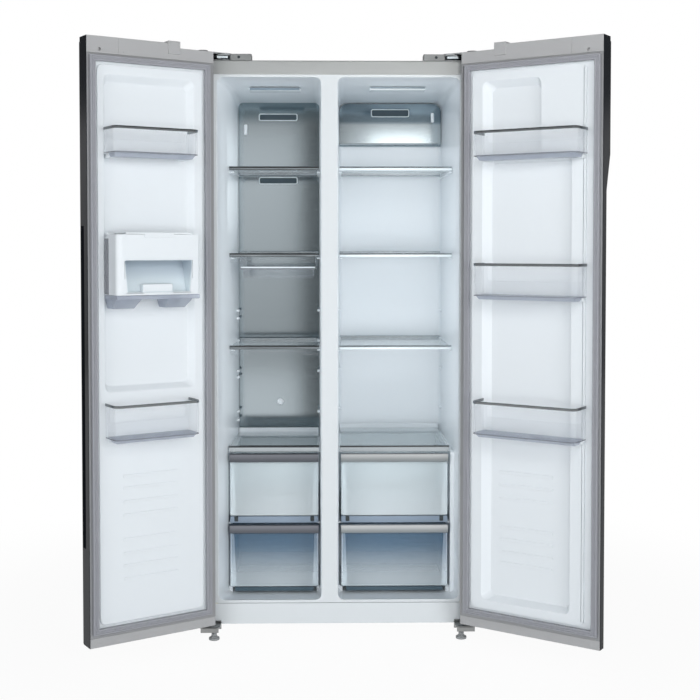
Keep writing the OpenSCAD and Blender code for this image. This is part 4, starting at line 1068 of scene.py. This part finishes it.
# the clear shelf under the box, on two broad brackets
ledge = lug((x0 - 1, -0.1, low - 13), (x1 + 1, 92, low - 0.4), 3, "ice_box_ledge")
for x in (x0 + 6, x1 - 86):
    bracket = block("bracket", (x, -17, low - 40), (x + 80, 60, low - 13.4))
    taper(bracket, "-z", (x + 8, -17, low - 40), (x + 72, 24, low - 40))
    merge(ledge, soften(bracket, 2, 3))
set_in(smooth(ledge), cloudy_plastic, "left_door", "clear_plastic", where=on_left)

# ---------------------------------------------------------------- glass shelves
# A sheet of tempered glass in a bright front trim, with a small upstand at the back that
# keeps food off the wall. The freezer's shelves have a stepped apron under the trim.

shelf_glass = Finish("shelf_glass", (0.74, 0.83, 0.86), 0.04, Specular_IOR_Level=0.6)
shelf_glass.see_through(0.08, 0.5, 0.3, 2.5)

shelf_front_y = 130


def glass_top(name, body, front, back, y, top, height, lip, trims):
    """a pane with a bright bar in front, under its dark top edge; y is bar, pane and back"""
    pane = block(name + "_pane", (front[0] + 1, y[1], top - 8), (front[1] - 1, y[2], top - 4))
    taper(pane, "+y", (back[0], y[2], top - 8), (back[1], y[2], top - 4))
    set_in(smooth(soften(pane, 0.6, 2)), shelf_glass, body, "shelf_glass", name)
    bar = block(name + "_trim", (front[0], y[0], top - height), (front[1], y[0] + 12, top - lip))
    pick(bar, "FACE", facing("-y"))
    bpy.ops.mesh.inset(thickness=2)
    bpy.ops.transform.translate(value=(0, 0.8, 0))
    leave_edit()
    set_in(smooth(soften(bar, 1, 3, 25)), trims[0], body, "brushed_trim")
    edge = block(name + "_edge", (front[0], y[0] - 0.8, top - lip), (front[1], y[0] + 12.4, top))
    round_over(edge, lip * 0.6, 4, along("x", lambda p: p.y < y[0] and p.z > top - 1))
    set_in(smooth(edge), trims[1], body, "brushed_trim")


def apron(name, x, top):
    """the stepped skirt under a freezer shelf's trim"""
    y, low = shelf_front_y, top - 21
    skirt = block(name, (x[0] + 2, y + 4, top - 30), (x[1] - 2, y + 12, top - 11))
    notch = block("notch", (x[0] + 52, y, top - 40), (x[1] - 44, y + 20, low))
    carve(skirt, taper(notch, "+z", (x[0] + 60, y, low), (x[1] - 52, y + 20, low)))
    return smooth(soften(skirt, 1, 2))


def upstand(name, x, y, low, high):
    return smooth(rounded(name, (x[0], y - 8, low), (x[1], y, high), 1.6))


dim_trim = Finish("dim_trim", (0.3, 0.34, 0.37), 0.25, Metallic=1.0)
dim_trim.set("Base Color", dim_trim.blend(dim_trim.noise(9, 2.0), (0.2, 0.23, 0.25), (0.5, 0.55, 0.58)))
rooms = (
    ("freezer", (-335.3, -57), (-328.5, -61.5), 408, (dim_trim, rail_metal)),
    ("fridge", (6.6, 355.8), (10.2, 353), 492, (pressed_rim, bright_trim)),
)
for room, front, back, end, trims in rooms:
    for level, top in zip(("upper", "middle", "lower"), shelf_tops):
        body = f"{room}_shelf_{level}"
        y = (shelf_front_y, shelf_front_y + 6, end)
        glass_top(body, body, front, back, y, top, 12, 5.5, trims)
        stop = upstand(body + "_upstand", back, end, top - 11, top + 4)
        set_in(stop, bright_trim, body, "brushed_trim")
        if room == "freezer":
            set_in(apron(body + "_apron", front, top), clear_plastic, body, "clear_plastic")

# ---------------------------------------------------------------- ice tray
# A shallow clear tray under the middle freezer shelf. Its flanges hang on two rails.

tray = block("ice_tray_tub", (-295, 137, 1083), (-75.5, 394, 1118))
pick(tray, "FACE", facing("+z"))
press(2, (0, 0, -32.6))
leave_edit()
soften(tray, 1, 2)
flanges = [lug((x, 143, 1113.4), (x + 6.5, 394, 1118), 1) for x in (-301, -76)]
merge(tray, rounded("pull", (-207, 135.4, 1101), (-157, 139, 1118), 1.4, 2), *flanges)
set_in(smooth(tray), clear_plastic, "ice_tray", "clear_plastic", "ice_tray")

for name, low, high, finish in (
        ("ice_tray_lip", 1114.4, 1118.4, frosted), ("ice_tray_line", 1109.6, 1112.4, dark_edge)):
    lip = lug((-300.5, 135.6, low), (-70, 137.4, high), 0.6, name)
    set_in(smooth(lip), finish, "ice_tray", "clear_plastic")

hangers = []
for x, way in ((-301.6, -1), (-68.9, 1)):
    for edges, top in ((sorted((x, x + 3 * way)), 1154), (sorted((x + way, x - 5 * way)), 1113)):
        hangers.append(rounded("tray_rails", (edges[0], 141, 1109), (edges[1], 398, top), 0.8, 2))
set_in(smooth(merge(*hangers)), clear_plastic, "freezer_shelf_middle", "clear_plastic")

# ---------------------------------------------------------------- drawers
# Two clear drawers in each compartment under a glass cover. Each has a brushed bar along the
# top of its front that is hollow underneath for the fingers, and white strips inside its
# front corners.

upper_bar_top, lower_bar_top = 543, 322
bar_height = 27
drawer_y = 92
cover_top = 566


def shaded_drawer_plastic(name, painted_top_colour, low_colour, heights, thickness):
    """clear plastic, with painted shade that darkens it towards the top of its drawer"""
    shaded_plastic = Finish(name, (0.8, 0.88, 0.93), 0.1, Specular_IOR_Level=0.6)
    shaded_plastic.by_height(*heights, low_colour, painted_top_colour)
    shaded_plastic.see_through(thickness, 0.5, 0.35, 2.6)
    return shaded_plastic


# both are painted darker towards the top, faintly in the upper drawers and deep blue in the lower ones:
# painted shade from what lies above them
upper_drawer_shaded = shaded_drawer_plastic("upper_drawer_plastic", (0.86, 0.96, 1.0), (0.9, 0.97, 1.0), (0.36, 0.5), 0.38)
lower_drawer_shaded = shaded_drawer_plastic("lower_drawer_plastic", (0.1, 0.23, 0.38), (0.84, 0.93, 0.98),
                         (0.145, 0.27), 0.3)


def drawer_aluminium(name, low_colour, painted_top_colour):
    """brushed along the bar, with a painted highlight that lightens it towards its top edge"""
    bar = Finish(name, low_colour, 0.28, Metallic=1.0)
    above = bar.height(bar.place()) - (lower_bar_top - bar_height) / 1000
    above = above.maths("MODULO", above, (upper_bar_top - lower_bar_top) / 1000)
    bar.set("Base Color", bar.blend(bar.ramp(above, 0.004, 0.022), low_colour, painted_top_colour))
    bar.hairlines((10, 1800, 1800), 0.22, 0.16, 0.0001)
    return bar


brushed_bar = drawer_aluminium("brushed_aluminium", (0.3, 0.33, 0.345), (0.62, 0.64, 0.65))
# the freezer's bars are the same aluminium painted darker, a painted dark reflection: the fridge's bars
# mirror the white floor, these mirror dark surroundings
reflection_darkened_bar = drawer_aluminium("aluminium_with_painted_dark_reflection", (0.13, 0.14, 0.16), (0.24, 0.25, 0.28))

covers = (
    ("freezer", (-335.5, -56.8), (-327, -61.6), 410),
    ("fridge", (6.5, 346), (10, 346), 500),
)
for room, front, back, end in covers:
    node = room + "_drawer_cover"
    y = (drawer_y - 4, drawer_y + 4, end)
    glass_top(node, "cabinet", front, back, y, cover_top, 19, 5, (bright_trim, rail_metal))
    stop = upstand(node + "_upstand", back, end, cover_top - 19, cover_top + 9)
    set_in(stop, white_plastic, "cabinet", "white_plastic")


def drawer_tub(name, front, back, end, low, high):
    tub = block(name, (front[0], drawer_y, low), (front[1], end, high))
    taper(tub, "+y", (back[0], end, low), (back[1], end, high))
    round_over(tub, 7, 4, lambda p, d: abs(d.z) > 0.9 or p.z < low + 1)
    pick(tub, "FACE", facing("+z"))
    press(2.6, (0, 0, low - high + 2.8))
    leave_edit()
    return smooth(soften(tub, 0.8, 2, 50))


def drawer_bar(name, front, top):
    """the brushed bar, with a scoop for the fingers cut out from below"""
    y = drawer_y - 12
    bar = block(name, (front[0], y, top - bar_height), (front[1], drawer_y - 0.2, top))
    round_over(bar, 3, 4, along("x", lambda p: p.y < y + 1))
    low, high = front[0] - 3, front[1] + 3
    scoop = block("scoop", (low, y + 3, top - 30), (high, drawer_y - 3.2, top - 12))
    carve(bar, taper(scoop, "+z", (low, y + 7, top - 14), (high, drawer_y - 4.2, top - 14)))
    return smooth(soften(bar, 0.8, 2, 50))


def corner_strips(name, front, low, high):
    """white strips inside the front corners, wider towards the floor"""
    strips = []
    for outer, way in ((front[0] + 1.2, 1), (front[1] - 1.2, -1)):
        ends = sorted((outer, outer + 18 * way))
        strip = block(name, (ends[0], drawer_y + 3, low + 4), (ends[1], drawer_y + 6, high - 3))
        pick(strip, "VERT", lambda p, n: p.z > high - 10 and (p.x - outer) * way > 5)
        bpy.ops.transform.translate(value=(-7 * way, 0, 0))
        leave_edit()
        strips.append(soften(strip, 1, 2))
    return smooth(merge(*strips))


def drawer_base(name, front, end, low, high):
    """the blue-grey base that the upper drawers slide on"""
    base = block(name, (front[0] + 1, drawer_y + 1, low), (front[1] - 1, end - 2, high))
    carve(base, block("hollow", (front[0] + 14, drawer_y + 3, low - 3),
                      (front[1] - 14, end - 16, high + 3)))
    return smooth(soften(base, 1, 2))


def base_feet(name, front, low, high):
    """a small dark foot at each end of the base"""
    return smooth(merge(*[lug((x - 6, drawer_y - 0.6, low + 4), (x + 6, drawer_y + 4, high), 2, name)
                          for x in (front[0] + 20, front[1] - 20)]))


stacks = (
    ("freezer", (-333.6, -58.5), (-322.5, -62.8), 404),
    ("fridge", (10.6, 342), (12, 342), 495),
)
# dark teal paints the shadow in the gap under each lower drawer
painted_drawer_shadow = Finish("painted_drawer_shadow", (0.07, 0.11, 0.14), 0.35).vary(0.3, 0.1, 40, 2.0)
base_blue = Finish("base_blue", (0.27, 0.34, 0.43), 0.35).vary(0.3, 0.1, 40, 2.0)
base_height = 20
for room, front, back, end in stacks:
    for level, low, high, depth, bar_top in (
            ("upper", 326, 540, end, upper_bar_top), ("lower", 125, 318, 336, lower_bar_top)):
        body = f"{room}_{level}_drawer"
        floor_at = low + base_height if level == "upper" else low
        tub = drawer_tub(body + "_tub", front, back, depth, floor_at, high)
        set_in(tub, upper_drawer_shaded if level == "upper" else lower_drawer_shaded, body, "clear_plastic", body)
        bar = drawer_bar(body + "_bar", front, bar_top)
        bar_finish = reflection_darkened_bar if room == "freezer" else brushed_bar
        set_in(bar, bar_finish, body, "brushed_trim", f"{room}_{level}_handle")
        strips = corner_strips(body + "_strips", front, floor_at, high)
        set_in(strips, white_plastic, body, "white_plastic")
        mat = block(body + "_floor", (front[0] + 6, drawer_y + 5, floor_at + 3),
                    (front[1] - 12, depth - 6, floor_at + 4.4))
        set_in(smooth(mat), white_plastic, body, "white_plastic")
        if level == "upper":
            base = drawer_base(body + "_base", front, depth, low, floor_at - 0.3)
            set_in(base, base_blue, body, "clear_plastic")
            feet = base_feet(body + "_feet", front, low, floor_at)
            set_in(feet, dark_plastic, body, "dark_plastic")
        else:
            # a dark teal sheet under the lower drawer paints the shadow in the gap beneath its floor
            shadow_sheet = lug((front[0] + 16, drawer_y + 1, 113.5),
                         (front[1] - 16, drawer_y + 5, 124.8), 0.8, body + "_base")
            set_in(smooth(shadow_sheet), painted_drawer_shadow, body, "dark_plastic")

# ---------------------------------------------------------------- machine space and back
# The back panel, base pan, compressor, condenser, evaporator, fan and rollers keep the shapes
# they were cut to. The back panel and base pan get galvanised sheet, the compressor and condenser
# black paint, the evaporator mill aluminium, the fan white plastic, the compressor's cover dark
# plastic and the rollers the plastic of the feet; the foam gets its own finish.

galvanised = Finish("galvanised_sheet", (0.5, 0.52, 0.54), 0.45, Metallic=0.9)
spangle = galvanised.node("TexVoronoi", None, {"Vector": galvanised.place(), "Scale": 90.0},
                          out="Color")
galvanised.set("Base Color", galvanised.blend(spangle, (0.44, 0.46, 0.48), (0.58, 0.6, 0.61)))
black_paint = Finish("black_paint", (0.018, 0.018, 0.02), 0.3).grain(250, 2.0, 0.0004, 0.3)
mill_aluminium = Finish("mill_aluminium", (0.6, 0.61, 0.63), 0.35, Metallic=1.0)
mill_aluminium.vary(0.28, 0.18, (60, 60, 400), 2.0)


def refinish(finish, *nodes):
    for node in nodes:
        for place in frame["nodes"][node].material_slots:
            place.material = finish.material


foam = Finish("foam", (0.75, 0.66, 0.4), 0.9).grain(400, 3.0, 0.001, 0.5)
refinish(foam, "insulation", "left_door_foam", "right_door_foam")
refinish(galvanised, "back_panel", "base_pan")
refinish(black_paint, "compressor", "condenser")
refinish(mill_aluminium, "evaporator")
refinish(white_plastic, "evaporator_fan")
refinish(dark_plastic, "compressor_cover")
refinish(foot_grey, "rear_rollers")
